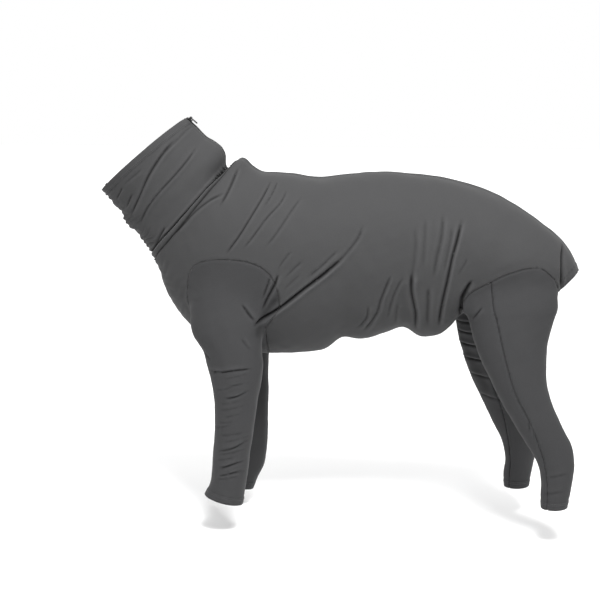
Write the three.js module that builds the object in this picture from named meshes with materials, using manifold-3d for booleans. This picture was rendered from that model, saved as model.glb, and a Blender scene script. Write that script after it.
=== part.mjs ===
// Jumpsuit of stretch jersey for a large dog, in the form that it has when worn.
// Millimetres. X runs from the neck to the tail, Y to the wearer's right, Z up.
// The origin lies at the withers, on the top line of the back.
import * as THREE from "three";
import { mergeVertices } from "three/addons/utils/BufferGeometryUtils.js";
import Module from "manifold-3d";

const wasm = await Module();
wasm.setup();

// Body sizes
const BACK_LENGTH = 570;
const CHEST_DEPTH = 300;
const CHEST_HALF_WIDTH = 120;
const NECK_LENGTH = 116;
const NECK_HALF_WIDTH = 72;

// Sleeve sizes: length from the shoulder row to the hem, depth front to rear, half width,
// spread of the pair
const SLEEVE_LENGTH = 386;
const SLEEVE_DEPTH = 120;
const SLEEVE_HALF_WIDTH = 40;
const SLEEVE_SPREAD = 86;
const ARMHOLE_LENGTH = 1.283 * SLEEVE_DEPTH;
const ARMHOLE_HEIGHT = 68;

// Hind leg sizes, in the same way
const HIND_LENGTH = 403;
const THIGH_DEPTH = 150;
const THIGH_HALF_WIDTH = 44;
const HIND_SPREAD = 86;

// The right legs stand forward of the left ones, as the wearer stands
const RIGHT_SLEEVE_STEP = 14;
const RIGHT_SLEEVE_EXTRA = 18;
const RIGHT_HIND_STEP = 59;
const RIGHT_HIND_EXTRA = 13;

// Cloth, seams and hems
const WALL = 1.5;
const SEAM_GAP = 0.4;
const HEM_WIDTH = 12;
const HEM_STEP = 1.5;
const HEM_EXTRA = 0.7;
const FOLD_HEIGHT = 4;
const FOLD_WIDTH = 13;
const CUT_RUN_ON = 5;

// Zip
const ZIP_SLOT_HALF = 3.2;
const TAPE_INNER = 2.9;
const TAPE_OUTER = 13;
const TAPE_THICK = 0.9;
const PIECE_GAP = 0.3;
const COIL_HALF = 2.5;
const COIL_SINK = 0.2;
const COIL_THICK = 2.4;
const ZIP_TAIL_MARGIN = 3;
const SLIDER_LENGTH = 10;
const SLIDER_WIDTH = 8.4;
const SLIDER_PLATE = 1.5;
const SLIDER_SETBACK = 6;
const SLIDER_CLEARANCE = 0.9;
const EAR_HEIGHT = 4;
const EAR_THICK = 1;
const EAR_LENGTH = 3.2;
const PIN_RADIUS = 0.9;
const PIN_COVER = 0.6;
const PULL_LENGTH = 14;
const PULL_WIDTH = 6.4;
const PULL_THICK = 1.4;
const PULL_CLEARANCE = 0.3;
const PULL_REST_TILT = 5;

// Mesh fineness
const TRUNK_SIDES = 24;
const LEG_SIDES = 14;
const PIN_SIDES = 10;
const ARC_STEPS = 12;
const WELD_DISTANCE = 1e-4;

// The cloth's folds fade out towards the top and low lines, between these shares of the half width.
const FOLD_FADE_START = 0.15;
const FOLD_FADE_END = 0.5;

// The zip slot's cut, from above the top line to below it, as shares of the trunk's depth
const SLOT_CUT_ABOVE = -0.08;
const SLOT_CUT_BELOW = 0.25;

// Places of the legs on the body
const SHOULDER_X = -0.1 * BACK_LENGTH;
const SHOULDER_Z = -0.5 * CHEST_DEPTH;
const HIP_X = 0.67 * BACK_LENGTH;
const HIP_Z = -0.4 * CHEST_DEPTH;

// Turns a short table into rows with named columns.
function rowsOf(columns, table) {
  return table.map((values) => Object.fromEntries(columns.map((name, i) => [name, values[i]])));
}

// Body sections from the neck seam to the tail opening.
// x is a share of the back length, z of the chest depth, half of the chest half width.
const BODY_SECTIONS = rowsOf(
  ["topX", "topZ", "lowX", "lowZ", "half", "rise"],
  [
    [-0.14, 0.017, -0.36, -0.457, 0.6, 0.0],
    [-0.116, 0.06, -0.349, -0.5, 0.67, 0.02],
    [-0.091, 0.07, -0.337, -0.547, 0.72, 0.04],
    [-0.067, 0.03, -0.328, -0.6, 0.76, 0.06],
    [-0.039, 0.0, -0.314, -0.67, 0.81, 0.08],
    [-0.009, -0.007, -0.286, -0.757, 0.87, 0.1],
    [0.021, -0.01, -0.253, -0.84, 0.92, 0.12],
    [0.06, -0.017, -0.204, -0.92, 0.97, 0.14],
    [0.102, -0.03, -0.137, -0.97, 0.99, 0.14],
    [0.186, -0.017, 0.014, -0.997, 1.0, 0.12],
    [0.228, -0.01, 0.084, -0.99, 0.98, 0.1],
    [0.267, -0.003, 0.147, -0.967, 0.96, 0.08],
    [0.302, 0.0, 0.195, -0.9, 0.93, 0.06],
    [0.34, 0.0, 0.256, -0.91, 0.9, 0.06],
    [0.432, -0.013, 0.37, -0.837, 0.84, 0.06],
    [0.474, -0.023, 0.418, -0.887, 0.82, 0.08],
    [0.558, -0.063, 0.489, -0.857, 0.83, 0.12],
    [0.602, -0.093, 0.511, -0.813, 0.85, 0.12],
    [0.649, -0.133, 0.526, -0.777, 0.86, 0.1],
    [0.747, -0.25, 0.579, -0.723, 0.84, 0.06],
    [0.789, -0.31, 0.623, -0.703, 0.8, 0.02],
    [0.821, -0.37, 0.674, -0.687, 0.73, 0.0],
    [0.844, -0.433, 0.721, -0.67, 0.6, 0.0],
    [0.861, -0.51, 0.779, -0.653, 0.34, 0.0],
  ],
);

// Neck sections from the seam to the rim, in the frame of the neck seam.
// along is a share of the neck length, across of the seam's depth, half of the neck half width.
const NECK_SECTIONS = rowsOf(
  ["topAlong", "topAcross", "lowAlong", "lowAcross", "half"],
  [
    [0.0, 0.5, 0.0, -0.5, 1.0],
    [0.13, 0.572, 0.18, -0.47, 0.97],
    [0.23, 0.603, 0.28, -0.458, 0.98],
    [0.33, 0.602, 0.38, -0.434, 0.955],
    [0.41, 0.594, 0.45, -0.455, 0.97],
    [0.49, 0.58, 0.55, -0.445, 0.95],
    [0.57, 0.583, 0.62, -0.428, 0.965],
    [0.65, 0.587, 0.7, -0.388, 0.945],
    [0.73, 0.59, 0.8, -0.402, 0.955],
    [0.883, 0.587, 1.111, -0.375, 0.93],
  ],
);

// Sleeve sections from the shoulder to the hem.
// x is a share of the sleeve depth from the shoulder, drop of the sleeve length,
// mid of the spread, half of the half width, and step of the right leg's step forward.
const LEG_COLUMNS = ["frontX", "frontDrop", "rearX", "rearDrop", "mid", "half", "step", "seam"];
const SLEEVE_SECTIONS = rowsOf(LEG_COLUMNS, [
  [-0.508, 0.0, 0.475, 0.039, 0.84, 0.85, 0.0],
  [-0.575, 0.13, 0.525, 0.155, 0.91, 0.95, 0.2],
  [-0.558, 0.259, 0.408, 0.259, 0.98, 1.0, 0.5],
  [-0.392, 0.342, 0.392, 0.339, 1.0, 1.0, 0.8],
  [-0.35, 0.402, 0.408, 0.407, 1.0, 0.97, 1.0],
  [-0.292, 0.479, 0.367, 0.492, 1.0, 0.92, 1.0],
  [-0.258, 0.692, 0.242, 0.72, 0.98, 0.79, 1.0],
  [-0.283, 0.79, 0.208, 0.803, 0.97, 0.75, 1.0],
  [-0.35, 0.927, 0.15, 0.951, 0.96, 0.74, 1.0],
  [-0.4, 0.959, 0.117, 1.0, 0.96, 0.76, 1.0],
]);

// Hind leg sections from the hip to the hem, with the place of the lengthwise seam
// as a share of the way from the front edge to the rear one.
const HIND_SECTIONS = rowsOf(LEG_COLUMNS, [
  [-0.35, 0.0, 0.29, 0.02, 0.62, 0.62, 0.0, 0.22],
  [-0.507, 0.199, 0.52, 0.16, 0.7, 0.92, 0.2, 0.28],
  [-0.44, 0.253, 0.46, 0.268, 0.75, 0.96, 0.4, 0.34],
  [-0.36, 0.352, 0.407, 0.352, 0.82, 0.96, 0.55, 0.37],
  [-0.26, 0.447, 0.4, 0.452, 0.88, 0.89, 0.63, 0.39],
  [-0.133, 0.541, 0.433, 0.536, 0.93, 0.8, 0.7, 0.4],
  [0.147, 0.715, 0.607, 0.697, 0.99, 0.64, 0.84, 0.38],
  [0.26, 0.779, 0.687, 0.757, 1.0, 0.6, 0.9, 0.34],
  [0.333, 0.834, 0.707, 0.811, 1.0, 0.58, 0.94, 0.26],
  [0.36, 0.95, 0.68, 0.943, 1.0, 0.55, 1.0, 0.22],
  [0.367, 1.0, 0.653, 0.998, 1.0, 0.54, 1.0, 0.24],
]);

// Seam over the thigh: x is a share of the thigh depth from the hip, z of the chest depth.
// The outer line shows on the flank, the inner one runs between the legs.
const THIGH_SEAM = rowsOf(
  ["x", "z", "innerX", "innerZ"],
  [
    [-0.527, -0.707, -0.6, -0.83],
    [-0.487, -0.653, -0.5, -0.8],
    [-0.4, -0.603, -0.38, -0.775],
    [-0.227, -0.553, -0.2, -0.745],
    [-0.027, -0.5, 0.0, -0.72],
    [0.18, -0.47, 0.17, -0.7],
    [0.333, -0.473, 0.33, -0.69],
    [0.493, -0.52, 0.46, -0.69],
  ],
);

// Folds of the body: from and to points seen from the side, with height and width as shares
// of the fold height and width. A negative height is a crease.
const FOLD_COLUMNS = ["fromX", "fromZ", "toX", "toZ", "height", "width"];
const BODY_FOLDS = rowsOf(FOLD_COLUMNS, [
  [-0.12, 0.0, -0.277, -0.316, -0.8, 0.6],
  [-0.078, 0.05, -0.154, -0.209, -0.9, 0.8],
  [-0.02, 0.0, -0.19, -0.42, 0.6, 1.0],
  [0.021, 0.0, -0.122, -0.43, -0.9, 0.9],
  [0.068, -0.04, -0.043, -0.354, -0.7, 0.9],
  [0.095, -0.13, 0.007, -0.368, 0.5, 0.9],
  [0.03, -0.68, 0.217, -0.4, -1.2, 1.1],
  [0.217, -0.4, 0.266, -0.256, -0.6, 1.1],
  [0.427, -0.231, 0.402, -0.598, 0.6, 1.2],
  [0.399, -0.608, 0.414, -0.8, 0.9, 1.0],
  [0.535, -0.202, 0.502, -0.453, -0.6, 1.1],
  [0.502, -0.453, 0.471, -0.8, -1.2, 1.0],
  [0.344, -0.573, 0.29, -0.83, 0.8, 1.0],
  [0.295, -0.628, 0.276, -0.78, -0.7, 0.9],
]);

// Folds of the neck, in the frame of the neck seam.
const NECK_FOLDS = rowsOf(FOLD_COLUMNS, [
  [0.76, 0.29, 0.67, 0.04, -0.7, 0.6],
  [0.67, 0.04, 0.53, -0.34, -1.1, 0.7],
  [0.45, 0.46, 0.5, 0.13, -0.7, 0.6],
  [0.5, 0.13, 0.44, -0.3, -0.8, 0.6],
  [0.73, 0.5, 0.73, 0.27, -0.4, 0.6],
  [0.3, 0.35, 0.28, -0.35, 0.7, 0.9],
  [0.6, 0.3, 0.6, -0.2, 0.5, 0.8],
]);

function pointXZ(x, z) {
  return new THREE.Vector3(x, 0, z);
}

// The body's sections as points and sizes in millimetres.
function bodyRows() {
  return BODY_SECTIONS.map((row) => ({
    top: pointXZ(row.topX * BACK_LENGTH, row.topZ * CHEST_DEPTH),
    low: pointXZ(row.lowX * BACK_LENGTH, row.lowZ * CHEST_DEPTH),
    half: row.half * CHEST_HALF_WIDTH,
    rise: row.rise,
  }));
}

// The frame of the neck seam: its middle, its depth, and the directions across and along the neck.
function neckFrame() {
  const seam = bodyRows()[0];
  const across = seam.top.clone().sub(seam.low);
  const depth = across.length();
  across.normalize();
  return {
    middle: seam.top.clone().add(seam.low).multiplyScalar(0.5),
    depth,
    across,
    along: pointXZ(-across.z, across.x),
  };
}

function neckPoint(frame, along, across) {
  return frame.middle
    .clone()
    .addScaledVector(frame.along, along * NECK_LENGTH)
    .addScaledVector(frame.across, across * frame.depth);
}

// The neck's sections in millimetres, with the first one a seam's gap away from the body.
function neckRows() {
  const frame = neckFrame();
  const gap = SEAM_GAP / NECK_LENGTH;
  return NECK_SECTIONS.map((row) => ({
    top: neckPoint(frame, Math.max(row.topAlong, gap), row.topAcross),
    low: neckPoint(frame, Math.max(row.lowAlong, gap), row.lowAcross),
    half: row.half * NECK_HALF_WIDTH,
    rise: 0,
  }));
}

// All folds with their end points in millimetres.
function foldLines() {
  const frame = neckFrame();
  const onBody = BODY_FOLDS.map((fold) => ({
    from: pointXZ(fold.fromX * BACK_LENGTH, fold.fromZ * CHEST_DEPTH),
    to: pointXZ(fold.toX * BACK_LENGTH, fold.toZ * CHEST_DEPTH),
    height: fold.height * FOLD_HEIGHT,
    width: fold.width * FOLD_WIDTH,
  }));
  const onNeck = NECK_FOLDS.map((fold) => ({
    from: neckPoint(frame, fold.fromX, fold.fromZ),
    to: neckPoint(frame, fold.toX, fold.toZ),
    height: fold.height * FOLD_HEIGHT,
    width: fold.width * FOLD_WIDTH,
  }));
  return [...onBody, ...onNeck];
}

const FOLDS = foldLines();

// How far the cloth stands out at a point seen from the side, with each fold fading at its ends.
function foldHeight(point) {
  return FOLDS.reduce((sum, fold) => {
    const run = fold.to.clone().sub(fold.from);
    const offset = point.clone().sub(fold.from);
    const share = THREE.MathUtils.clamp(offset.dot(run) / run.lengthSq(), 0, 1);
    const distance = offset.addScaledVector(run, -share).length();
    const fade = 0.5 + 2 * share * (1 - share);
    return sum + fold.height * fade * Math.exp(-((distance / fold.width) ** 2));
  }, 0);
}

// One closed section of the trunk: an oval through the top and low points, moved out by offset.
function trunkRing(row, offset) {
  const middle = row.top.clone().add(row.low).multiplyScalar(0.5);
  const reach = row.top.clone().sub(row.low).multiplyScalar(0.5);
  const reachLength = reach.length();
  const up = reach.clone().normalize();
  const extra = row.extra ?? 0;
  return Array.from({ length: TRUNK_SIDES }, (_, i) => {
    const angle = (i / TRUNK_SIDES) * 2 * Math.PI;
    const c = Math.cos(angle);
    const s = Math.sin(angle);
    const height = reachLength * (c + row.rise * s * s);
    const side = row.half * s;
    const normalUp = c / reachLength;
    const normalSide = s / row.half;
    const scale = 1 / Math.hypot(normalUp, normalSide);
    const point = middle.clone().addScaledVector(up, height);
    const sideFade = THREE.MathUtils.smoothstep(Math.abs(s), FOLD_FADE_START, FOLD_FADE_END);
    const out = offset + (offset < 0 ? 0 : extra) + sideFade * foldHeight(point);
    point.addScaledVector(up, normalUp * scale * out);
    point.y = side + normalSide * scale * out;
    return point;
  });
}

// One closed section of a leg: an oval through the front and rear points.
function legRing(row, offset, side) {
  const middle = row.front.clone().add(row.rear).multiplyScalar(0.5);
  const reach = row.front.clone().sub(row.rear).multiplyScalar(0.5);
  const reachLength = reach.length();
  const forward = reach.clone().normalize();
  const extra = offset < 0 ? 0 : (row.extra ?? 0);
  return Array.from({ length: LEG_SIDES }, (_, i) => {
    const angle = (i / LEG_SIDES) * 2 * Math.PI;
    const point = middle.clone().addScaledVector(forward, Math.cos(angle) * (reachLength + offset + extra));
    point.y = side * (row.mid + Math.sin(angle) * (row.half + offset + extra));
    return point;
  });
}

// A leg's sections in millimetres, for a leg on the given side.
function legRows(sections, place, side) {
  const right = side > 0 ? 1 : 0;
  return sections.map((row) => {
    const shift = right * place.step * row.step;
    const at = (x, drop) =>
      pointXZ(place.x + x * place.depth - shift, place.z - drop * (place.length + right * place.extra));
    return {
      front: at(row.frontX, row.frontDrop),
      rear: at(row.rearX, row.rearDrop),
      mid: row.mid * place.spread,
      half: row.half * place.half,
      seam: row.seam,
    };
  });
}

const SLEEVE_PLACE = {
  x: SHOULDER_X,
  z: SHOULDER_Z,
  depth: SLEEVE_DEPTH,
  length: SLEEVE_LENGTH,
  half: SLEEVE_HALF_WIDTH,
  spread: SLEEVE_SPREAD,
  step: RIGHT_SLEEVE_STEP,
  extra: RIGHT_SLEEVE_EXTRA,
};

const HIND_PLACE = {
  x: HIP_X,
  z: HIP_Z,
  depth: THIGH_DEPTH,
  length: HIND_LENGTH,
  half: THIGH_HALF_WIDTH,
  spread: HIND_SPREAD,
  step: RIGHT_HIND_STEP,
  extra: RIGHT_HIND_EXTRA,
};

// A row part of the way from row a to row b.
function between(a, b, share, extra) {
  const mixed = { extra };
  for (const [key, value] of Object.entries(a)) {
    if (key === "extra") continue;
    mixed[key] = value?.isVector3 ? value.clone().lerp(b[key], share) : value + (b[key] - value) * share;
  }
  return mixed;
}

// Adds a hem at the last row: a thicker band that starts with a small step.
function withHem(rows, pointNames) {
  const last = rows[rows.length - 1];
  const previous = rows[rows.length - 2];
  const span = pointNames.reduce((sum, name) => sum + last[name].distanceTo(previous[name]), 0) / 2;
  const hemStart = Math.max(0.3, 1 - HEM_WIDTH / span);
  const stepStart = hemStart - HEM_STEP / span;
  return [
    ...rows.slice(0, -1),
    between(previous, last, stepStart, 0),
    between(previous, last, hemStart, HEM_EXTRA),
    between(previous, last, 1, HEM_EXTRA),
  ];
}

// Signed volume of a triangle mesh, positive when its faces point out.
function signedVolume(points, triangles) {
  let sum = 0;
  for (let i = 0; i < triangles.length; i += 3) {
    const [a, b, c] = [points[triangles[i]], points[triangles[i + 1]], points[triangles[i + 2]]];
    sum += a.dot(b.clone().cross(c));
  }
  return sum / 6;
}

// A closed solid through rings of the same number of points, with flat caps.
function loftSolid(rings, capTriangles) {
  const count = rings[0].length;
  const points = rings.flat();
  const triangles = [];
  for (let r = 0; r + 1 < rings.length; r++) {
    for (let i = 0; i < count; i++) {
      const a = r * count + i;
      const b = r * count + ((i + 1) % count);
      triangles.push(a, b, a + count, b, b + count, a + count);
    }
  }
  const lastStart = (rings.length - 1) * count;
  for (const [a, b, c] of capTriangles(rings[0])) triangles.push(a, c, b);
  for (const [a, b, c] of capTriangles(rings[rings.length - 1])) {
    triangles.push(lastStart + a, lastStart + b, lastStart + c);
  }
  if (signedVolume(points, triangles) < 0) triangles.reverse();
  return new wasm.Manifold(
    new wasm.Mesh({
      numProp: 3,
      vertProperties: new Float32Array(points.flatMap((p) => [p.x, p.y, p.z])),
      triVerts: new Uint32Array(triangles),
    }),
  );
}

// Caps for a ring that bulges everywhere: strips from side to side.
function ovalCap(ring) {
  const triangles = [];
  let low = 0;
  let high = ring.length - 1;
  while (high - low > 1) {
    triangles.push([low, low + 1, high]);
    if (high - low > 2) triangles.push([low + 1, high - 1, high]);
    low += 1;
    high -= 1;
  }
  return triangles;
}

// Caps for a flat outline in the X Z plane, which may have hollows, turned the way the ring runs.
function outlineCap(ring) {
  const flat = ring.map((p) => new THREE.Vector2(p.x, p.z));
  const turn = Math.sign(THREE.ShapeUtils.area(flat));
  return THREE.ShapeUtils.triangulateShape([...flat], []).map((face) => {
    const faceTurn = Math.sign(THREE.ShapeUtils.area(face.map((i) => flat[i])));
    return faceTurn === turn ? face : face.toReversed();
  });
}

// Moves a whole ring along the way from its neighbour, to run a cut past the cloth's edge.
function pushedRing(ring, neighbour, distance) {
  const centre = (points) =>
    points.reduce((sum, p) => sum.add(p), new THREE.Vector3()).divideScalar(points.length);
  const step = centre(ring).sub(centre(neighbour)).setLength(distance);
  return ring.map((p) => p.clone().add(step));
}

// A loft through rings, run on past both ends by the given distances.
function runOnLoft(rings, before, after) {
  const all = [...rings];
  if (before > 0) all.unshift(pushedRing(rings[0], rings[1], before));
  if (after > 0) all.push(pushedRing(rings[rings.length - 1], rings[rings.length - 2], after));
  return loftSolid(all, ovalCap);
}

function trunkLoft(rows, offset, before = 0, after = 0) {
  return runOnLoft(
    rows.map((row) => trunkRing(row, offset)),
    before,
    after,
  );
}

function legLoft(rows, offset, side, after = 0) {
  return runOnLoft(
    rows.map((row) => legRing(row, offset, side)),
    0,
    after,
  );
}

// An outline in the X Z plane moved out by a distance, corner by corner.
function grownOutline(outline, distance) {
  const area = THREE.ShapeUtils.area(outline.map((p) => new THREE.Vector2(p.x, p.z)));
  const sign = Math.sign(area);
  return outline.map((p, i) => {
    const before = outline[(i + outline.length - 1) % outline.length];
    const after = outline[(i + 1) % outline.length];
    const run = after.clone().sub(before).normalize();
    return p.clone().add(pointXZ(run.z * sign * distance, -run.x * sign * distance));
  });
}

function outlineAt(outline, y) {
  return outline.map((p) => new THREE.Vector3(p.x, y, p.z));
}

// A prism of an outline between two distances from the centre plane.
function prism(outline, yFrom, yTo) {
  return loftSolid([outlineAt(outline, yFrom), outlineAt(outline, yTo)], outlineCap);
}

const CUT_FAR_Y = 2 * CHEST_HALF_WIDTH;
const CUT_BOTTOM_Z = SHOULDER_Z - 1.5 * (SLEEVE_LENGTH + HIND_LENGTH);

// The region that a leg takes out of the body: it runs from an inner outline to an outer one.
function legRegion(outer, inner, seamY, innerY, side, grow) {
  const wide = grownOutline(outer, grow);
  const narrow = grownOutline(inner, grow);
  return loftSolid(
    [
      outlineAt(narrow, side * (innerY - grow)),
      outlineAt(wide, side * seamY),
      outlineAt(wide, side * CUT_FAR_Y),
    ],
    outlineCap,
  );
}

// Armhole lines. The height of the arch's centre is a share of the chest depth from the shoulder,
// length and height are shares of the armhole's, and the foot's drop is a share of the sleeve length.
const ARMHOLE_OUTER = { centre: 0.167, length: 1, height: 1, footDrop: 0.238 };
const ARMHOLE_INNER = { centre: 0.43, length: 0.62, height: 0.3, footDrop: 0.443 };
const ARMHOLE_SQUARENESS = 0.8;
const ARMHOLE_START_ANGLE = -15;
const ARMHOLE_END_ANGLE = 190;

// The armhole's foot, as shares of the sleeve depth from the shoulder and of the sleeve length
const FOOT_REAR = 0.44;
const FOOT_REAR_STEP = 0.01;
const FOOT_FRONT = 0.67;
const FOOT_FRONT_WIDE = 0.95;
const FOOT_DROP_STEP = 0.14;

// How far out the outer and inner armhole lines lie, in sleeve half widths from the sleeve's middle
const ARMHOLE_OUTER_PLACE = 0.1;
const ARMHOLE_INNER_PLACE = 1.35;

// Armhole: an arch over the shoulder outside, and a lower arch along the chest inside.
function armholeRegion(side, grow) {
  const footRear = SHOULDER_X + FOOT_REAR * SLEEVE_DEPTH - (side > 0 ? RIGHT_SLEEVE_STEP : 0);
  const arch = (line) =>
    Array.from({ length: ARC_STEPS + 1 }, (_, i) => {
      const degrees = THREE.MathUtils.lerp(ARMHOLE_START_ANGLE, ARMHOLE_END_ANGLE, i / ARC_STEPS);
      const angle = THREE.MathUtils.degToRad(degrees);
      const fuller = (value) => Math.sign(value) * Math.abs(value) ** ARMHOLE_SQUARENESS;
      return pointXZ(
        SHOULDER_X + ((line.length * ARMHOLE_LENGTH) / 2) * fuller(Math.cos(angle)),
        SHOULDER_Z - line.centre * CHEST_DEPTH + line.height * ARMHOLE_HEIGHT * fuller(Math.sin(angle)),
      );
    });
  const foot = (line) => {
    const z = SHOULDER_Z - line.footDrop * SLEEVE_LENGTH;
    return [
      pointXZ(SHOULDER_X - FOOT_FRONT * SLEEVE_DEPTH, z),
      pointXZ(SHOULDER_X - FOOT_FRONT_WIDE * SLEEVE_DEPTH, z - FOOT_DROP_STEP * SLEEVE_LENGTH),
      pointXZ(SHOULDER_X - FOOT_FRONT_WIDE * SLEEVE_DEPTH, CUT_BOTTOM_Z),
      pointXZ(footRear, CUT_BOTTOM_Z),
      pointXZ(footRear + FOOT_REAR_STEP * SLEEVE_DEPTH, z),
    ];
  };
  return legRegion(
    [...arch(ARMHOLE_OUTER), ...foot(ARMHOLE_OUTER)],
    [...arch(ARMHOLE_INNER), ...foot(ARMHOLE_INNER)],
    SLEEVE_SPREAD + ARMHOLE_OUTER_PLACE * SLEEVE_HALF_WIDTH,
    SLEEVE_SPREAD - ARMHOLE_INNER_PLACE * SLEEVE_HALF_WIDTH,
    side,
    grow,
  );
}

// The thigh region's outline below the seam: x in thigh depths from the hip, z in chest depths
// from the seam's rear end, with the two lowest points at the bottom of the cut.
const THIGH_FOOT = rowsOf(
  ["x", "drop"],
  [
    [0.62, 0.1],
    [0.95, 0.4],
    [0.95, Infinity],
    [-0.65, Infinity],
    [-0.65, 0.35],
  ],
);
const THIGH_OUTER_PLACE = 0.0;
const THIGH_INNER_PLACE = 1.5;

// Thigh seam: the line over the flank outside, and the crotch line inside.
function thighRegion(side, grow) {
  const foot = (z) =>
    THIGH_FOOT.map((p) =>
      pointXZ(HIP_X + p.x * THIGH_DEPTH, Math.max(z - p.drop * CHEST_DEPTH, CUT_BOTTOM_Z)),
    );
  const last = THIGH_SEAM[THIGH_SEAM.length - 1];
  const outer = THIGH_SEAM.map((p) => pointXZ(HIP_X + p.x * THIGH_DEPTH, p.z * CHEST_DEPTH));
  const inner = THIGH_SEAM.map((p) => pointXZ(HIP_X + p.innerX * THIGH_DEPTH, p.innerZ * CHEST_DEPTH));
  return legRegion(
    [...outer, ...foot(last.z * CHEST_DEPTH)],
    [...inner, ...foot(last.innerZ * CHEST_DEPTH)],
    HIND_SPREAD + THIGH_OUTER_PLACE * THIGH_HALF_WIDTH,
    HIND_SPREAD - THIGH_INNER_PLACE * THIGH_HALF_WIDTH,
    side,
    grow,
  );
}

// The part of space in front of a hind leg's lengthwise seam.
function frontOfSeam(rows, shift) {
  const line = rows.map((row) => {
    const p = row.front.clone().lerp(row.rear, row.seam);
    return pointXZ(p.x + shift, p.z);
  });
  const top = line[0];
  const bottom = line[line.length - 1];
  return prism(
    [
      pointXZ(top.x, top.z + CHEST_DEPTH),
      ...line,
      pointXZ(bottom.x, bottom.z - CHEST_DEPTH),
      pointXZ(top.x - BACK_LENGTH, bottom.z - CHEST_DEPTH),
      pointXZ(top.x - BACK_LENGTH, top.z + CHEST_DEPTH),
    ],
    -CUT_FAR_Y,
    CUT_FAR_Y,
  );
}

// The stretch over the top of the trunk, from row first to row last, between two widths.
function dorsalBlock(rows, first, last, yFrom, yTo) {
  const rings = rows.slice(first, last + 1).map((row) => {
    const above = row.top.clone().lerp(row.low, SLOT_CUT_ABOVE);
    const below = row.top.clone().lerp(row.low, SLOT_CUT_BELOW);
    return [...outlineAt([above, below], yFrom), ...outlineAt([below, above], yTo)];
  });
  return runOnLoft(rings, 0, 0);
}

// A strip of the zip along the top of the trunk, set in below the cloth's outer face.
function zipStrip(rows, yFrom, yTo, sink, thick) {
  const rings = rows.map((row) => {
    const [top, next] = trunkRing(row, 0);
    const down = row.low.clone().sub(row.top).normalize();
    const at = (y, depth) => {
      const point = top.clone().lerp(next, Math.abs(y) / next.y).addScaledVector(down, depth);
      point.y = y;
      return point;
    };
    return [at(yFrom, sink), at(yTo, sink), at(yTo, sink + thick), at(yFrom, sink + thick)];
  });
  return runOnLoft(rings, 0, 0);
}

// A three.js geometry as a solid, placed by a matrix.
function solidOf(geometry, matrix) {
  const bare = geometry.clone();
  bare.deleteAttribute("normal");
  bare.deleteAttribute("uv");
  bare.applyMatrix4(matrix);
  const merged = mergeVertices(bare, WELD_DISTANCE);
  return new wasm.Manifold(
    new wasm.Mesh({
      numProp: 3,
      vertProperties: new Float32Array(merged.attributes.position.array),
      triVerts: new Uint32Array(merged.index.array),
    }),
  );
}

function boxBetween(low, high, matrix) {
  const size = high.map((v, i) => v - low[i]);
  const centre = high.map((v, i) => (v + low[i]) / 2);
  const geometry = new THREE.BoxGeometry(...size);
  geometry.translate(...centre);
  return solidOf(geometry, matrix);
}

function rodAlongY(radius, length, x, z, matrix) {
  const geometry = new THREE.CylinderGeometry(radius, radius, length, PIN_SIDES);
  geometry.translate(x, 0, z);
  return solidOf(geometry, matrix);
}

// The slider's frame: X down the zip, Z out of the cloth, with its origin on the top line.
function sliderMatrix(neck) {
  const rim = neck[neck.length - 1].top;
  const next = neck[neck.length - 2].top;
  const down = next.clone().sub(rim).normalize();
  const out = pointXZ(-down.z, down.x);
  const side = new THREE.Vector3(0, 1, 0);
  const origin = rim.clone().addScaledVector(down, SLIDER_SETBACK);
  return new THREE.Matrix4().makeBasis(down, side, out).setPosition(origin);
}

const SEAT = PIECE_GAP + HEM_EXTRA;
const PIN_HEIGHT = SEAT + SLIDER_PLATE + EAR_HEIGHT - PIN_RADIUS - PIN_COVER;

// The slider: plates above and below the coil, a nose that joins them past the coil's end,
// and two ears with the pull's pin.
function zipSlider(matrix) {
  const halfLength = SLIDER_LENGTH / 2;
  const halfWidth = SLIDER_WIDTH / 2;
  const plateTop = SEAT + SLIDER_PLATE;
  const lowTop = -COIL_SINK - COIL_THICK - SLIDER_CLEARANCE;
  const top = boxBetween([-halfLength, -halfWidth, SEAT], [halfLength, halfWidth, plateTop], matrix);
  const low = boxBetween(
    [-halfLength, -COIL_HALF, lowTop - SLIDER_PLATE],
    [halfLength, COIL_HALF, lowTop],
    matrix,
  );
  const nose = boxBetween(
    [-halfLength, -COIL_HALF, lowTop - SLIDER_PLATE / 2],
    [-halfLength + SLIDER_PLATE, COIL_HALF, SEAT + SLIDER_PLATE / 2],
    matrix,
  );
  const earInner = halfWidth - EAR_THICK;
  const ears = [-1, 1].map((side) =>
    boxBetween(
      [-EAR_LENGTH / 2, Math.min(side * earInner, side * halfWidth), SEAT + SLIDER_PLATE / 2],
      [EAR_LENGTH / 2, Math.max(side * earInner, side * halfWidth), plateTop + EAR_HEIGHT],
      matrix,
    ),
  );
  const pin = rodAlongY(PIN_RADIUS, SLIDER_WIDTH - EAR_THICK, 0, PIN_HEIGHT, matrix);
  return [low, nose, ...ears, pin].reduce((sum, piece) => sum.add(piece), top);
}

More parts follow.
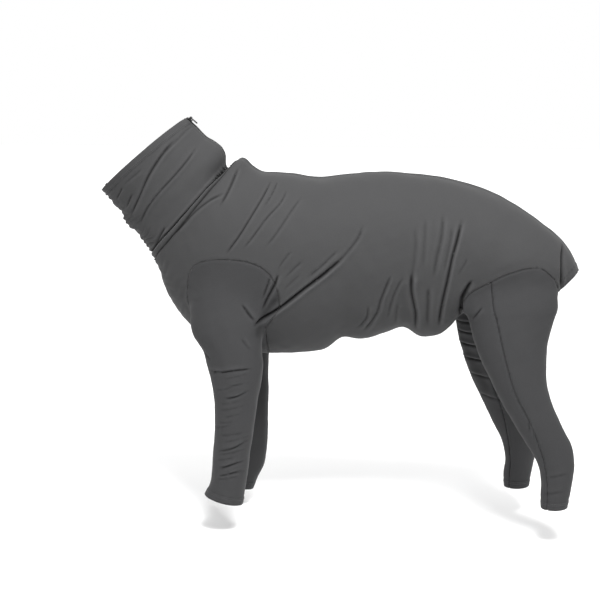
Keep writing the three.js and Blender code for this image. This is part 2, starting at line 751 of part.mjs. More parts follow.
// The pull: an eye round the pin and a tab that lies down the nape.
function zipPull(matrix) {
  const tilt = new THREE.Matrix4()
    .makeTranslation(0, 0, PIN_HEIGHT)
    .multiply(new THREE.Matrix4().makeRotationY(THREE.MathUtils.degToRad(PULL_REST_TILT)));
  const placed = matrix.clone().multiply(tilt);
  const eyeHole = PIN_RADIUS + PULL_CLEARANCE;
  const eyeOuter = eyeHole + PULL_THICK / 2;
  const eyeWidth = SLIDER_WIDTH - 2 * EAR_THICK - 2 * PULL_CLEARANCE;
  const neckEnd = SLIDER_LENGTH / 2;
  const eye = rodAlongY(eyeOuter, eyeWidth, 0, 0, placed);
  const stem = boxBetween(
    [eyeHole, -eyeWidth / 2, -PULL_THICK / 2],
    [neckEnd, eyeWidth / 2, PULL_THICK / 2],
    placed,
  );
  const tab = boxBetween(
    [neckEnd - 1, -PULL_WIDTH / 2, -PULL_THICK / 2],
    [PULL_LENGTH, PULL_WIDTH / 2, PULL_THICK / 2],
    placed,
  );
  const hole = rodAlongY(eyeHole, 2 * SLIDER_WIDTH, 0, 0, placed);
  return eye.add(stem).add(tab).subtract(hole);
}

// A solid as a named mesh.
function meshOf(name, solid, material) {
  const data = solid.getMesh();
  const positions = new Float32Array(data.numVert * 3);
  for (let i = 0; i < data.numVert; i++) {
    positions.set(data.vertProperties.subarray(i * data.numProp, i * data.numProp + 3), i * 3);
  }
  const geometry = new THREE.BufferGeometry();
  geometry.setAttribute("position", new THREE.BufferAttribute(positions, 3));
  geometry.setIndex(new THREE.BufferAttribute(data.triVerts, 1));
  geometry.computeVertexNormals();
  const mesh = new THREE.Mesh(geometry, material);
  mesh.name = name;
  return mesh;
}

function jersey() {
  return new THREE.MeshStandardMaterial({ color: 0x4f4f51, roughness: 0.85, metalness: 0 });
}

function zipTapeCloth() {
  return new THREE.MeshStandardMaterial({ color: 0x1a1a1b, roughness: 0.8, metalness: 0 });
}

function zipPlastic() {
  return new THREE.MeshStandardMaterial({ color: 0x141415, roughness: 0.4, metalness: 0 });
}

function zipEnamel() {
  return new THREE.MeshStandardMaterial({ color: 0x101011, roughness: 0.3, metalness: 0.6 });
}

// The neck tube: a wall open at both ends, slit over the zip.
function neckTube(rows, trunk, zipEnd) {
  const outer = trunkLoft(withHem(rows, ["top", "low"]), 0);
  const wall = outer.subtract(trunkLoft(rows, -WALL, CUT_RUN_ON, CUT_RUN_ON));
  return wall.subtract(zipSlot(trunk, zipEnd));
}

function zipSlot(trunk, zipEnd) {
  return dorsalBlock(trunk, 0, zipEnd, -ZIP_SLOT_HALF, ZIP_SLOT_HALF);
}

// The whole body shell with its four legs, as one open wall.
function shell(body, legs) {
  const outer = legs.reduce(
    (sum, leg) => sum.add(legLoft(leg.rows, 0, leg.side)),
    trunkLoft(withHem(body, ["top", "low"]), 0),
  );
  const inner = legs.reduce(
    (sum, leg) => sum.add(legLoft(leg.plainRows, -WALL, leg.side, CUT_RUN_ON)),
    trunkLoft(body, -WALL, CUT_RUN_ON, CUT_RUN_ON),
  );
  return outer.subtract(inner);
}

function jumpsuit() {
  const body = bodyRows();
  const neck = neckRows();
  const trunk = [...neck.toReversed(), ...body];
  const zipEnd = trunk.length - 1 - ZIP_TAIL_MARGIN;
  const sides = [
    { name: "left", side: -1 },
    { name: "right", side: 1 },
  ];
  const legsOf = (sections, place, regionOf) =>
    sides.map(({ name, side }) => {
      const plainRows = legRows(sections, place, side);
      const rows = withHem(plainRows, ["front", "rear"]);
      return { name, side, plainRows, rows, region: (grow) => regionOf(side, grow) };
    });
  const sleeves = legsOf(SLEEVE_SECTIONS, SLEEVE_PLACE, armholeRegion);
  const hinds = legsOf(HIND_SECTIONS, HIND_PLACE, thighRegion);
  const legs = [...sleeves, ...hinds];
  const wall = shell(body, legs);

  const suit = new THREE.Group();
  const cloth = jersey();
  const half = SEAM_GAP / 2;
  suit.add(meshOf("neck_tube", neckTube(neck, trunk, zipEnd), cloth));

  const bodyWall = legs
    .reduce((sum, leg) => sum.subtract(leg.region(half)), wall)
    .subtract(zipSlot(trunk, zipEnd));
  for (const { name, side } of sides) {
    const halfSpace = prism(
      [
        pointXZ(-BACK_LENGTH, CHEST_DEPTH),
        pointXZ(2 * BACK_LENGTH, CHEST_DEPTH),
        pointXZ(2 * BACK_LENGTH, CUT_BOTTOM_Z),
        pointXZ(-BACK_LENGTH, CUT_BOTTOM_Z),
      ],
      side * half,
      side * CUT_FAR_Y,
    );
    suit.add(meshOf("body_" + name, bodyWall.intersect(halfSpace), cloth));
  }

  for (const leg of sleeves) {
    suit.add(meshOf("front_sleeve_" + leg.name, wall.intersect(leg.region(-half)), cloth));
  }
  for (const leg of hinds) {
    const whole = wall.intersect(leg.region(-half));
    const front = whole.intersect(frontOfSeam(leg.rows, -half));
    const rear = whole.subtract(frontOfSeam(leg.rows, half));
    suit.add(meshOf("hind_leg_" + leg.name + "_front_panel", front, cloth));
    suit.add(meshOf("hind_leg_" + leg.name + "_rear_panel", rear, cloth));
  }

  const slider = sliderMatrix(neck);
  const noseClear = boxBetween(
    [-2 * SLIDER_LENGTH, -2 * SLIDER_WIDTH, -SLIDER_LENGTH],
    [-SLIDER_LENGTH / 2 + SLIDER_PLATE + PIECE_GAP, 2 * SLIDER_WIDTH, SLIDER_LENGTH],
    slider,
  );
  const tapeSink = WALL + PIECE_GAP;
  const zipRows = trunk.slice(0, zipEnd + 1);
  const tape = zipTapeCloth();
  for (const { name, side } of sides) {
    const yFrom = Math.min(side * TAPE_INNER, side * TAPE_OUTER);
    const yTo = Math.max(side * TAPE_INNER, side * TAPE_OUTER);
    const strip = zipStrip(zipRows, yFrom, yTo, tapeSink, TAPE_THICK);
    suit.add(meshOf("zip_tape_" + name, strip.subtract(noseClear), tape));
  }
  const coil = zipStrip(zipRows, -COIL_HALF, COIL_HALF, COIL_SINK, COIL_THICK);
  suit.add(meshOf("zip_coil", coil.subtract(noseClear), zipPlastic()));
  suit.add(meshOf("zip_slider", zipSlider(slider), zipEnamel()));
  suit.add(meshOf("zip_pull", zipPull(slider), zipEnamel()));
  return suit;
}

const suit = jumpsuit();

export default suit;
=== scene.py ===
"""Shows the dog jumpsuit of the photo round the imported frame.

Panels of stretch jersey with seams, folds, hems and stitches, a zip along the back, a pale floor
and soft studio light. The shape is worked out in millimetres and handed over in metres.
"""
import math

import bpy
import numpy as np
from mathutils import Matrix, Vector
from mathutils.bvhtree import BVHTree


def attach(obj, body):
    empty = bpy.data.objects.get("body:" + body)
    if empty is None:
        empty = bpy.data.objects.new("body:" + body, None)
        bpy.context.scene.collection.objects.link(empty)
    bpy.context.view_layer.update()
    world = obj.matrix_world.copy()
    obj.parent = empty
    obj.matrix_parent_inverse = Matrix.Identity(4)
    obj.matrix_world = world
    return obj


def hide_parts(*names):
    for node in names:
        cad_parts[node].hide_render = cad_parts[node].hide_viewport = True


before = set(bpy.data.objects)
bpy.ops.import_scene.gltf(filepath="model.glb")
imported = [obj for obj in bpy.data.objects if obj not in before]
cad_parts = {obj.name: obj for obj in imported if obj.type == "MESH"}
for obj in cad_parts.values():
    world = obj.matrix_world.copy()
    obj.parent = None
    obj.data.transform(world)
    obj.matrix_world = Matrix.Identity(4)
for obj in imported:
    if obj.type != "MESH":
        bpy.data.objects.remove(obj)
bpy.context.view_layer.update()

# Camera: the way that the photo looks at the suit
CAMERA_AIM = (0.0409, 0.0, -0.2113)
CAMERA_AZIMUTH = 7.0
CAMERA_ELEVATION = 9.0
CAMERA_DISTANCE = 2.8
CAMERA_LENS = 102.44
FLOOR_Z = -0.584

# Body sizes
BACK_LENGTH = 570.0
CHEST_DEPTH = 300.0
CHEST_HALF_WIDTH = 120.0
NECK_LENGTH = 116.0
NECK_HALF_WIDTH = 72.0

# Sleeve sizes
SLEEVE_LENGTH = 386.0
SLEEVE_DEPTH = 120.0
SLEEVE_HALF_WIDTH = 40.0
SLEEVE_SPREAD = 86.0
ARMHOLE_LENGTH = 1.283 * SLEEVE_DEPTH
ARMHOLE_HEIGHT = 68.0

# Hind leg sizes
HIND_LENGTH = 403.0
THIGH_DEPTH = 150.0
THIGH_HALF_WIDTH = 44.0
HIND_SPREAD = 86.0

# The right legs stand forward of the left ones
RIGHT_SLEEVE_STEP = 14.0
RIGHT_SLEEVE_EXTRA = 18.0
RIGHT_HIND_STEP = 59.0
RIGHT_HIND_EXTRA = 13.0
# How far the loose rear edge of the right sleeve hangs back, for each of its sections
RIGHT_SLEEVE_SLACK = (0, 0, 0, 0, 0, 3, 11, 18, 21, 20, 11, 7)

# Cloth
CLOTH_THICK = 1.3
HEM_WIDTH = 12.0
ZIP_SLOT_HALF = 3.2
VOXEL = 3.5
SMOOTH_STEPS = 4
LEG_TOP_EASING = 0.7
LEG_TOP_STEPS = 30
RUN_ON = 14.0

# Rounds of finer triangles: the least strength of a crease's painted shade and highlight, and the reach
# beside a seam
REFINEMENTS = ((0.03, 4.0), (0.22, 1.0))

# Jersey's colour with painted shade in the bottom of a crease and with painted highlight on a fold, as
# shares of its own
PAINTED_SHADE_SHARE = 0.16
PAINTED_HIGHLIGHT_SHARE = 2.2

# Zip. The tapes meet under the coil, so that no light passes, and the slider's nose cuts into them.
TAPE_INNER = 0.3
TAPE_OUTER = 13.0
TAPE_THICK = 0.8
TAPE_SINK = 1.7
COIL_PITCH = 1.3
COIL_RADIUS = 0.62
COIL_REACH = 1.5
COIL_OFFSET = 0.9
COIL_SINK = 0.9
SLIDER_LENGTH = 10.0
SLIDER_WIDTH = 8.4
SLIDER_SETBACK = 6.0
SLIDER_SEAT = 1.0
PLATE = 1.5
EAR_HEIGHT = 4.0
PIN_RADIUS = 0.9
PIN_COVER = 0.6
PIN_HEIGHT = SLIDER_SEAT + PLATE + EAR_HEIGHT - PIN_RADIUS - PIN_COVER
PULL_LENGTH = 14.0
PULL_WIDTH = 6.4
PULL_THICK = 1.4
PULL_REST_TILT = 5.0

# x and z of the pull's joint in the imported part
PULL_HINGE = (-137.903, 85.25)

# A ray that looks for the cloth's face starts this far outside it and runs this far
RAY_START = 6.0
RAY_REACH = 40.0

# Stitches
STITCH_PITCH = 0.0032
STITCH_LENGTH = 0.0022
STITCH_RADIUS = 0.0003
STITCH_ROWS = (8.5, 11.0)

SHOULDER = (-0.1 * BACK_LENGTH, -0.5 * CHEST_DEPTH)
HIP = (0.67 * BACK_LENGTH, -0.4 * CHEST_DEPTH)

# Body sections from the neck seam to the tail: top x, top z, low x, low z, half width, rise.
# x is a share of the back length, z of the chest depth, the half width of the chest's.
BODY_SECTIONS = [
    (-0.14, 0.017, -0.36, -0.457, 0.6, 0.0),
    (-0.116, 0.06, -0.349, -0.5, 0.67, 0.02),
    (-0.091, 0.07, -0.337, -0.547, 0.72, 0.04),
    (-0.067, 0.03, -0.328, -0.6, 0.76, 0.06),
    (-0.039, 0.0, -0.314, -0.67, 0.81, 0.08),
    (-0.009, -0.007, -0.286, -0.757, 0.87, 0.1),
    (0.021, -0.01, -0.253, -0.84, 0.92, 0.12),
    (0.06, -0.017, -0.204, -0.92, 0.97, 0.14),
    (0.102, -0.03, -0.137, -0.97, 0.99, 0.14),
    (0.144, -0.03, -0.063, -0.993, 1.0, 0.14),
    (0.186, -0.017, 0.014, -0.997, 1.0, 0.12),
    (0.228, -0.01, 0.084, -0.99, 0.98, 0.1),
    (0.267, -0.003, 0.147, -0.967, 0.96, 0.08),
    (0.302, 0.0, 0.195, -0.9, 0.93, 0.06),
    (0.34, 0.0, 0.256, -0.91, 0.9, 0.06),
    (0.386, -0.007, 0.319, -0.873, 0.87, 0.06),
    (0.432, -0.013, 0.37, -0.837, 0.84, 0.06),
    (0.474, -0.023, 0.418, -0.887, 0.82, 0.08),
    (0.516, -0.04, 0.46, -0.883, 0.82, 0.1),
    (0.558, -0.063, 0.489, -0.857, 0.83, 0.12),
    (0.602, -0.093, 0.511, -0.813, 0.85, 0.12),
    (0.649, -0.133, 0.526, -0.777, 0.86, 0.1),
    (0.698, -0.187, 0.547, -0.747, 0.84, 0.08),
    (0.747, -0.25, 0.579, -0.723, 0.84, 0.06),
    (0.789, -0.31, 0.623, -0.703, 0.8, 0.02),
    (0.821, -0.37, 0.674, -0.687, 0.73, 0.0),
    (0.844, -0.433, 0.721, -0.67, 0.6, 0.0),
    (0.861, -0.51, 0.779, -0.653, 0.34, 0.0),
]
ZIP_END_ROW = 4

# Neck sections from the seam to the rim, in the frame of the neck seam:
# top along, top across, low along, low across, half width.
NECK_SECTIONS = [
    (0.0, 0.5, 0.0, -0.5, 1.0),
    (0.06, 0.525, 0.08, -0.486, 0.99),
    (0.13, 0.572, 0.18, -0.47, 0.97),
    (0.23, 0.603, 0.28, -0.458, 0.98),
    (0.33, 0.602, 0.38, -0.434, 0.955),
    (0.41, 0.594, 0.45, -0.455, 0.97),
    (0.49, 0.58, 0.55, -0.445, 0.95),
    (0.57, 0.583, 0.62, -0.428, 0.965),
    (0.65, 0.587, 0.7, -0.388, 0.945),
    (0.73, 0.59, 0.8, -0.402, 0.955),
    (0.8, 0.592, 0.9, -0.391, 0.94),
    (0.883, 0.587, 1.111, -0.375, 0.93),
]

# Leg sections from the body to the hem: front x, front drop, rear x, rear drop, middle's share of
# the spread, half width, share of the right leg's step, and the lengthwise seam's place.
SLEEVE_SECTIONS = [
    (-0.508, 0.0, 0.475, 0.039, 0.84, 0.85, 0.0, 0.0),
    (-0.575, 0.13, 0.525, 0.155, 0.91, 0.95, 0.2, 0.0),
    (-0.558, 0.259, 0.408, 0.259, 0.98, 1.0, 0.5, 0.0),
    (-0.392, 0.342, 0.392, 0.339, 1.0, 1.0, 0.8, 0.0),
    (-0.35, 0.402, 0.408, 0.407, 1.0, 0.97, 1.0, 0.0),
    (-0.292, 0.479, 0.367, 0.492, 1.0, 0.92, 1.0, 0.0),
    (-0.25, 0.583, 0.3, 0.598, 0.99, 0.84, 1.0, 0.0),
    (-0.258, 0.692, 0.242, 0.72, 0.98, 0.79, 1.0, 0.0),
    (-0.283, 0.79, 0.208, 0.803, 0.97, 0.75, 1.0, 0.0),
    (-0.308, 0.881, 0.183, 0.886, 0.96, 0.73, 1.0, 0.0),
    (-0.35, 0.927, 0.15, 0.951, 0.96, 0.74, 1.0, 0.0),
    (-0.4, 0.959, 0.117, 1.0, 0.96, 0.76, 1.0, 0.0),
]
HIND_SECTIONS = [
    (-0.35, 0.0, 0.29, 0.02, 0.62, 0.62, 0.0, 0.2),
    (-0.507, 0.199, 0.52, 0.16, 0.7, 0.92, 0.2, 0.325),
    (-0.44, 0.253, 0.46, 0.268, 0.75, 0.96, 0.4, 0.348),
    (-0.36, 0.352, 0.407, 0.352, 0.82, 0.96, 0.55, 0.383),
    (-0.26, 0.447, 0.4, 0.452, 0.88, 0.89, 0.63, 0.394),
    (-0.133, 0.541, 0.433, 0.536, 0.93, 0.8, 0.7, 0.376),
    (0.013, 0.635, 0.513, 0.625, 0.97, 0.7, 0.78, 0.393),
    (0.147, 0.715, 0.607, 0.697, 0.99, 0.64, 0.84, 0.333),
    (0.26, 0.779, 0.687, 0.757, 1.0, 0.6, 0.9, 0.234),
    (0.333, 0.834, 0.707, 0.811, 1.0, 0.58, 0.94, 0.179),
    (0.367, 0.898, 0.7, 0.878, 1.0, 0.55, 0.97, 0.18),
    (0.36, 0.95, 0.68, 0.943, 1.0, 0.55, 1.0, 0.23),
    (0.367, 1.0, 0.653, 0.998, 1.0, 0.54, 1.0, 0.235),
]

# Thigh seam: outer x, outer z, inner x, inner z; x in thigh depths from the hip, z in chest depths.
THIGH_SEAM = [
    (-0.527, -0.707, -0.6, -0.83),
    (-0.487, -0.653, -0.5, -0.8),
    (-0.4, -0.603, -0.38, -0.775),
    (-0.227, -0.553, -0.2, -0.745),
    (-0.027, -0.5, 0.0, -0.72),
    (0.18, -0.47, 0.17, -0.7),
    (0.333, -0.473, 0.33, -0.69),
    (0.493, -0.52, 0.46, -0.69),
]

# Creases seen from the side: part of the suit, depth, width, height of the fold beside it, and the
# points (x, z) that the crease runs through. Each crease also gets painted shade in its bottom and
# painted highlight on its fold. The fold lies on the lower or rear side. "all" runs on over the seams,
# and "inner hind" lies on the inner faces of the hind legs. From the patch width below it is a
# shallow dip with a soft patch of painted shade and no fold beside it.
PAINTED_SHADE_PATCH = 5.0
CREASES = [
    ("neck", 2.4, 2.6, 1.8, (-151, 57), (-172, 31), (-194, -3), (-212, -39), (-231, -74)),
    ("neck", 1.8, 2.2, 1.3, (-119, 45), (-134, 20), (-155, -6), (-180, -33), (-200, -59), (-216, -86)),
    ("neck", 0.9, 2.2, 0.7, (-130, 77), (-172, 28)),
    ("neck", 0.9, 2.4, 0.8, (-203, 9), (-223, -8), (-242, -23)),
    ("neck", 1.8, 2.2, 1.2, (-224, -34), (-238, -60)),
    ("neck", 1.8, 2.2, 1.2, (-240, -23), (-248, -36), (-257, -49)),
    ("neck", 2.4, 3.0, 1.4, (-168, -84), (-180, -104), (-192, -124)),
    ("body", 2.0, 2.4, 1.4, (-53, 10), (-60, -14), (-69, -36), (-78, -52)),
    ("body", 1.8, 2.4, 1.5, (-69, -29), (-93, -41), (-117, -60), (-137, -81), (-153, -98)),
    ("body", 2.2, 2.2, 1.5, (2, -7), (-6, -28), (-19, -54), (-41, -92), (-65, -125)),
    ("body", 1.4, 1.8, 0.9, (12, -9), (5, -30), (-7, -52)),
    ("body", 1.5, 2.2, 1.2, (30, -19), (20, -43), (1, -65), (-21, -96), (-37, -116)),
    ("body", 1.1, 2.4, 0.9, (54, -31), (37, -57), (15, -92), (-1, -111)),
    ("body", 1.0, 2.4, 0.8, (43, -114), (27, -134), (19, -150)),
    ("body", 1.1, 2.4, 0.8, (61, -129), (44, -145), (28, -161)),
    ("body", 0.9, 2.4, 0.6, (58, -150), (26, -180)),
    ("body", 1.3, 2.8, 1.0, (153, -72), (145, -95), (126, -120), (106, -141)),
    ("all", 4.4, 3.0, 3.0, (124, -123), (92, -152), (61, -176), (24, -206), (-8, -228), (-22, -240)),
    ("body", 1.2, 2.4, 1.0, (116, -112), (92, -136), (64, -160)),
    ("body", 3.2, 3.0, 2.6, (306, -60), (299, -96), (291, -127), (284, -164), (276, -202), (270, -242)),
    ("body", 0.8, 3.4, 0.9, (291, -72), (286, -110), (278, -152)),
    ("body", 1.2, 3.6, 1.3, (276, -55), (274, -91), (267, -128), (262, -160)),
    ("body", 0.6, 3.6, 0.8, (249, -62), (248, -107), (245, -145)),
    ("body", 0.7, 3.8, 0.8, (233, -73), (234, -112), (229, -154), (228, -181)),
    ("body", 2.6, 3.6, 2.4, (229, -146), (228, -181), (234, -219), (232, -250)),
    ("body", 1.6, 4.0, 1.4, (255, -170), (252, -242)),
    ("body", 1.3, 2.6, 1.2, (216, -155), (201, -187), (188, -230)),
    ("body", 1.8, 2.6, 1.8, (198, -150), (181, -193), (172, -220), (149, -252)),
    ("body", 1.6, 2.4, 1.4, (161, -203), (156, -227), (138, -248)),
    ("body", 1.0, 2.4, 1.0, (207, -200), (200, -240)),
    ("body", 0.9, 2.4, 0.6, (317, -123), (299, -156)),
    ("all", 5.0, 3.4, 1.6, (324, -158), (311, -182), (306, -199), (304, -234)),
    ("body", 3.2, 2.6, 1.0, (463, -104), (462, -132), (461, -182)),
    ("all", 3.0, 2.6, 2.0, (22, -149), (15, -169), (2, -193), (-8, -215)),
    ("sleeve", 2.0, 2.2, 1.4, (9, -155), (1, -177), (-7, -197)),
    ("sleeve", 2.2, 2.4, 1.5, (-39, -201), (-25, -221), (-15, -233)),
    ("sleeve", 1.0, 2.6, 1.0, (-39, -255), (-23, -277)),
    ("sleeve", 2.4, 2.2, 1.6, (-96, -311), (-72, -311), (-55, -308), (-36, -306), (-18, -305)),
    ("sleeve", 1.3, 2.2, 0.9, (-104, -279), (-86, -294)),
    ("sleeve", 1.4, 2.0, 1.0, (-64, -355), (-44, -349), (-22, -338)),
    ("sleeve", 1.8, 2.2, 1.2, (-80, -443), (-53, -436), (-27, -421)),
    ("sleeve", 1.8, 2.2, 1.3, (-77, -472), (-51, -462), (-31, -457)),
    ("sleeve", 1.6, 2.0, 1.1, (-80, -485), (-53, -477), (-35, -472)),
    ("hind", 2.2, 2.2, 1.4, (340, -201), (329, -217), (321, -226)),
    ("hind", 1.3, 2.4, 0.8, (414, -377), (418, -399)),
    ("hind", 0.9, 2.8, 0.6, (446, -470), (480, -462)),
    ("hind", 0.9, 2.8, 0.6, (440, -498), (476, -490)),
    # Soft patches of painted shade at the armpit, the groin and the inner thigh, each over a shallow dip
    ("all", 1.5, 8.0, 0.0, (24, -184), (-2, -216), (-12, -244), (-12, -266)),
    ("all", 1.3, 8.0, 0.0, (318, -172), (308, -196), (305, -226)),
    ("inner hind", 1.2, 14.0, 0.0, (285, -232), (302, -275), (326, -325), (352, -375)),
    ("inner hind", 2.4, 2.6, 2.0, (270, -251), (345, -248)),
    ("inner hind", 2.2, 2.4, 1.8, (272, -266), (345, -267)),
    ("inner hind", 2.4, 2.6, 2.0, (276, -286), (350, -290)),
    ("inner hind", 2.6, 2.6, 2.0, (280, -312), (360, -314)),
    ("inner hind", 1.6, 2.8, 1.4, (300, -338), (372, -346)),
    ("inner hind", 1.4, 2.8, 1.2, (325, -372), (400, -390)),
]


def sleeve_wrinkles():
    """Small slanting wrinkles one below the other on the lower sleeve, in the way of CREASES."""
    rng = np.random.default_rng(21)
    made = []
    for z in np.arange(-322, -492, -10.5):
        front, long, rise = -88 + rng.uniform(0, 26), rng.uniform(30, 54), rng.uniform(0.12, 0.34)
        spots = [(front, z), (front + 0.5 * long, z + 0.4 * rise * long), (front + long, z + rise * long)]
        made.append(("sleeve", rng.uniform(0.5, 1.0), 1.9, rng.uniform(0.4, 0.8), *spots))
    return made


CREASES += sleeve_wrinkles()


def catmull_rom(rows, steps):
    """Rows of numbers with smooth rows put between them."""
    rows = np.asarray(rows, float)
    run = np.vstack([2 * rows[0] - rows[1], rows, 2 * rows[-1] - rows[-2]])
    made = []
    for a, b, c, d in zip(run, run[1:], run[2:], run[3:]):
        for s in np.arange(steps) / steps:
            made.append(
                b + 0.5 * s * (c - a + s * (2 * a - 5 * b + 4 * c - d + s * (3 * (b - c) + d - a)))
            )
    made.append(rows[-1])
    return np.array(made)


def run_on(rows, at_end, distance):
    """Rows with one more at an end, that far on the way from its neighbour, the sizes kept."""
    last, before = (rows[-1], rows[-2]) if at_end else (rows[0], rows[1])
    step = last - before
    step[4:] = 0
    step *= distance / max(np.hypot(step[0], step[1]), np.hypot(step[2], step[3]))
    extra = last + step
    return np.vstack([rows, extra]) if at_end else np.vstack([extra, rows])


BODY_SCALE = [BACK_LENGTH, CHEST_DEPTH, BACK_LENGTH, CHEST_DEPTH, CHEST_HALF_WIDTH, 1.0]
BODY_ROWS = np.array(BODY_SECTIONS) * BODY_SCALE
SEAM_TOP = BODY_ROWS[0, 0:2]
SEAM_LOW = BODY_ROWS[0, 2:4]
SEAM_MIDDLE = (SEAM_TOP + SEAM_LOW) / 2
SEAM_DEPTH = np.linalg.norm(SEAM_TOP - SEAM_LOW)
ACROSS = (SEAM_TOP - SEAM_LOW) / SEAM_DEPTH
ALONG = np.array([-ACROSS[1], ACROSS[0]])


def neck_point(along, across):
    return SEAM_MIDDLE + ALONG * along * NECK_LENGTH + ACROSS * across * SEAM_DEPTH


NECK_ROWS = np.array(
    [
        [*neck_point(ta, tc), *neck_point(la, lc), half * NECK_HALF_WIDTH, 0.0]
        for ta, tc, la, lc, half in NECK_SECTIONS
    ]
)
TRUNK_ROWS = np.vstack([NECK_ROWS[:0:-1], BODY_ROWS])


def leg_rows(sections, place, depth, length, half, spread, step, extra, right):
    """A leg's rows: front x, front z, rear x, rear z, middle y, half width, seam x, seam z."""
    rows = []
    for fx, fd, rx, rd, mid, wide, step_share, seam in sections:
        shift = right * step * step_share
        long = length + right * extra
        front = np.array([place[0] + fx * depth - shift, place[1] - fd * long])
        rear = np.array([place[0] + rx * depth - shift, place[1] - rd * long])
        rows.append([*front, *rear, mid * spread, wide * half, *(front + (rear - front) * seam)])
    return np.array(rows)


def sleeve_rows(right):
    rows = leg_rows(
        SLEEVE_SECTIONS,
        SHOULDER,
        SLEEVE_DEPTH,
        SLEEVE_LENGTH,
        SLEEVE_HALF_WIDTH,
        SLEEVE_SPREAD,
        RIGHT_SLEEVE_STEP,
        RIGHT_SLEEVE_EXTRA,
        right,
    )
    rows[:, 2] += right * np.array(RIGHT_SLEEVE_SLACK)
    return rows


def hind_rows(right):
    return leg_rows(
        HIND_SECTIONS,
        HIP,
        THIGH_DEPTH,
        HIND_LENGTH,
        THIGH_HALF_WIDTH,
        HIND_SPREAD,
        RIGHT_HIND_STEP,
        RIGHT_HIND_EXTRA,
        right,
    )


def trunk_rings(rows, sides):
    """Closed sections through the top and low points of each row."""
    angle = np.linspace(0, 2 * math.pi, sides, endpoint=False)
    c, s = np.cos(angle), np.sin(angle)
    middle = (rows[:, None, 0:2] + rows[:, None, 2:4]) / 2
    reach = (rows[:, None, 0:2] - rows[:, None, 2:4]) / 2
    flat = middle + reach * (c + rows[:, 5:6] * s * s)[:, :, None]
    side = rows[:, 4:5] * s
    return np.stack([flat[:, :, 0], side, flat[:, :, 1]], axis=2)


def leg_rings(rows, sides, right):
    """Closed sections through the front and rear points of each row."""
    angle = np.linspace(0, 2 * math.pi, sides, endpoint=False)
    c, s = np.cos(angle), np.sin(angle)
    middle = (rows[:, None, 0:2] + rows[:, None, 2:4]) / 2
    reach = (rows[:, None, 0:2] - rows[:, None, 2:4]) / 2
    flat = middle + reach * c[None, :, None]
    side = (1 if right else -1) * (rows[:, 4:5] + rows[:, 5:6] * s)
    return np.stack([flat[:, :, 0], side, flat[:, :, 1]], axis=2)


def mesh_of(name, points, faces):
    """A Blender mesh from points in metres and faces of three or four corners."""
    mesh = bpy.data.meshes.new(name)
    mesh.from_pydata(points.tolist(), [], [list(map(int, f)) for f in faces])
    mesh.validate()
    return mesh


def object_of(name, mesh):
    obj = bpy.data.objects.new(name, mesh)
    bpy.context.scene.collection.objects.link(obj)
    return obj


def settle(obj):
    """Puts the evaluated mesh in the place of the object's modifiers."""
    bpy.context.view_layer.update()
    depsgraph = bpy.context.evaluated_depsgraph_get()
    mesh = bpy.data.meshes.new_from_object(obj.evaluated_get(depsgraph))
    obj.modifiers.clear()
    obj.data = mesh
    return obj


def ring_faces(rings, first):
    """The faces of a closed loft, with a fan over each end."""
    count, sides = rings.shape[:2]
    faces = []
    for r in range(count - 1):
        for i in range(sides):
            a = first + r * sides + i
            b = first + r * sides + (i + 1) % sides
            faces.append((a, b, b + sides, a + sides))
    centres = first + count * sides
    for i in range(sides):
        j = (i + 1) % sides
        faces.append((first + j, first + i, centres))
        faces.append((first + (count - 1) * sides + i, first + (count - 1) * sides + j, centres + 1))
    return faces


def signed_volume(points, faces):
    corners = [points[[f[i] for f in faces]] for i in range(3)]
    total = np.einsum("ij,ij->", corners[0], np.cross(corners[1], corners[2]))
    quads = [f for f in faces if len(f) == 4]
    more = [points[[f[i] for f in quads]] for i in (0, 2, 3)]
    return total + np.einsum("ij,ij->", more[0], np.cross(more[1], more[2]))


def eased(points, faces, weight, steps):
    """Points moved towards the middle of their neighbours, by a weight for each."""
    a, b = np.vstack([faces[:, [0, 1]], faces[:, [1, 2]], faces[:, [2, 0]]]).T
    count = np.bincount(a, minlength=len(points))
    for _ in range(steps):
        middle = [np.bincount(a, points[b, k], len(points)) / count for k in range(3)]
        points = points + weight[:, None] * (np.column_stack(middle) - points)
    return points


def leg_tops(points):
    """How far each point lies on the upper part of a leg, where the leg flows into the body."""
    arm = np.maximum(armhole_field(points, 0), armhole_field(points, 1))
    thigh = np.maximum(thigh_field(points, 0), thigh_field(points, 1))
    arm = smoothstep(-16, -4, arm) * smoothstep(-236, -214, points[:, 2])
    thigh = smoothstep(-16, -4, thigh) * smoothstep(-212, -192, points[:, 2])
    return np.maximum(arm, thigh)


def whole_skin():
    """The suit's outer face as one skin: smooth lofts grown together, as points and triangles."""
    trunk = catmull_rom(TRUNK_ROWS, 5)
    trunk = run_on(run_on(trunk, True, RUN_ON), False, RUN_ON)
    lofts = [trunk_rings(trunk, 96)]
    for right in (0, 1):
        for rows in (sleeve_rows(right), hind_rows(right)):
            smooth = run_on(catmull_rom(rows, 5), True, RUN_ON)
            lofts.append(leg_rings(smooth, 64, right))
    points, faces = np.zeros((0, 3)), []
    for rings in lofts:
        made = np.vstack([rings.reshape(-1, 3), rings[0].mean(axis=0), rings[-1].mean(axis=0)])
        own = ring_faces(rings, 0)
        if signed_volume(made, own) < 0:
            own = [f[::-1] for f in own]
        faces += [tuple(i + len(points) for i in f) for f in own]
        points = np.vstack([points, made])
    obj = object_of("skin", mesh_of("skin", points * 0.001, faces))
    remesh = obj.modifiers.new("remesh", "REMESH")
    remesh.mode = "VOXEL"
    remesh.voxel_size = VOXEL * 0.001
    smooth = obj.modifiers.new("smooth", "SMOOTH")
    smooth.factor = 0.5
    smooth.iterations = SMOOTH_STEPS
    settle(obj)
    mesh = obj.data
    mesh.calc_loop_triangles()
    co = np.empty(len(mesh.vertices) * 3)
    mesh.vertices.foreach_get("co", co)
    tri = np.empty(len(mesh.loop_triangles) * 3, dtype=np.int32)
    mesh.loop_triangles.foreach_get("vertices", tri)
    bpy.data.objects.remove(obj)
    return co.reshape(-1, 3) * 1000.0, tri.reshape(-1, 3).astype(np.int64)


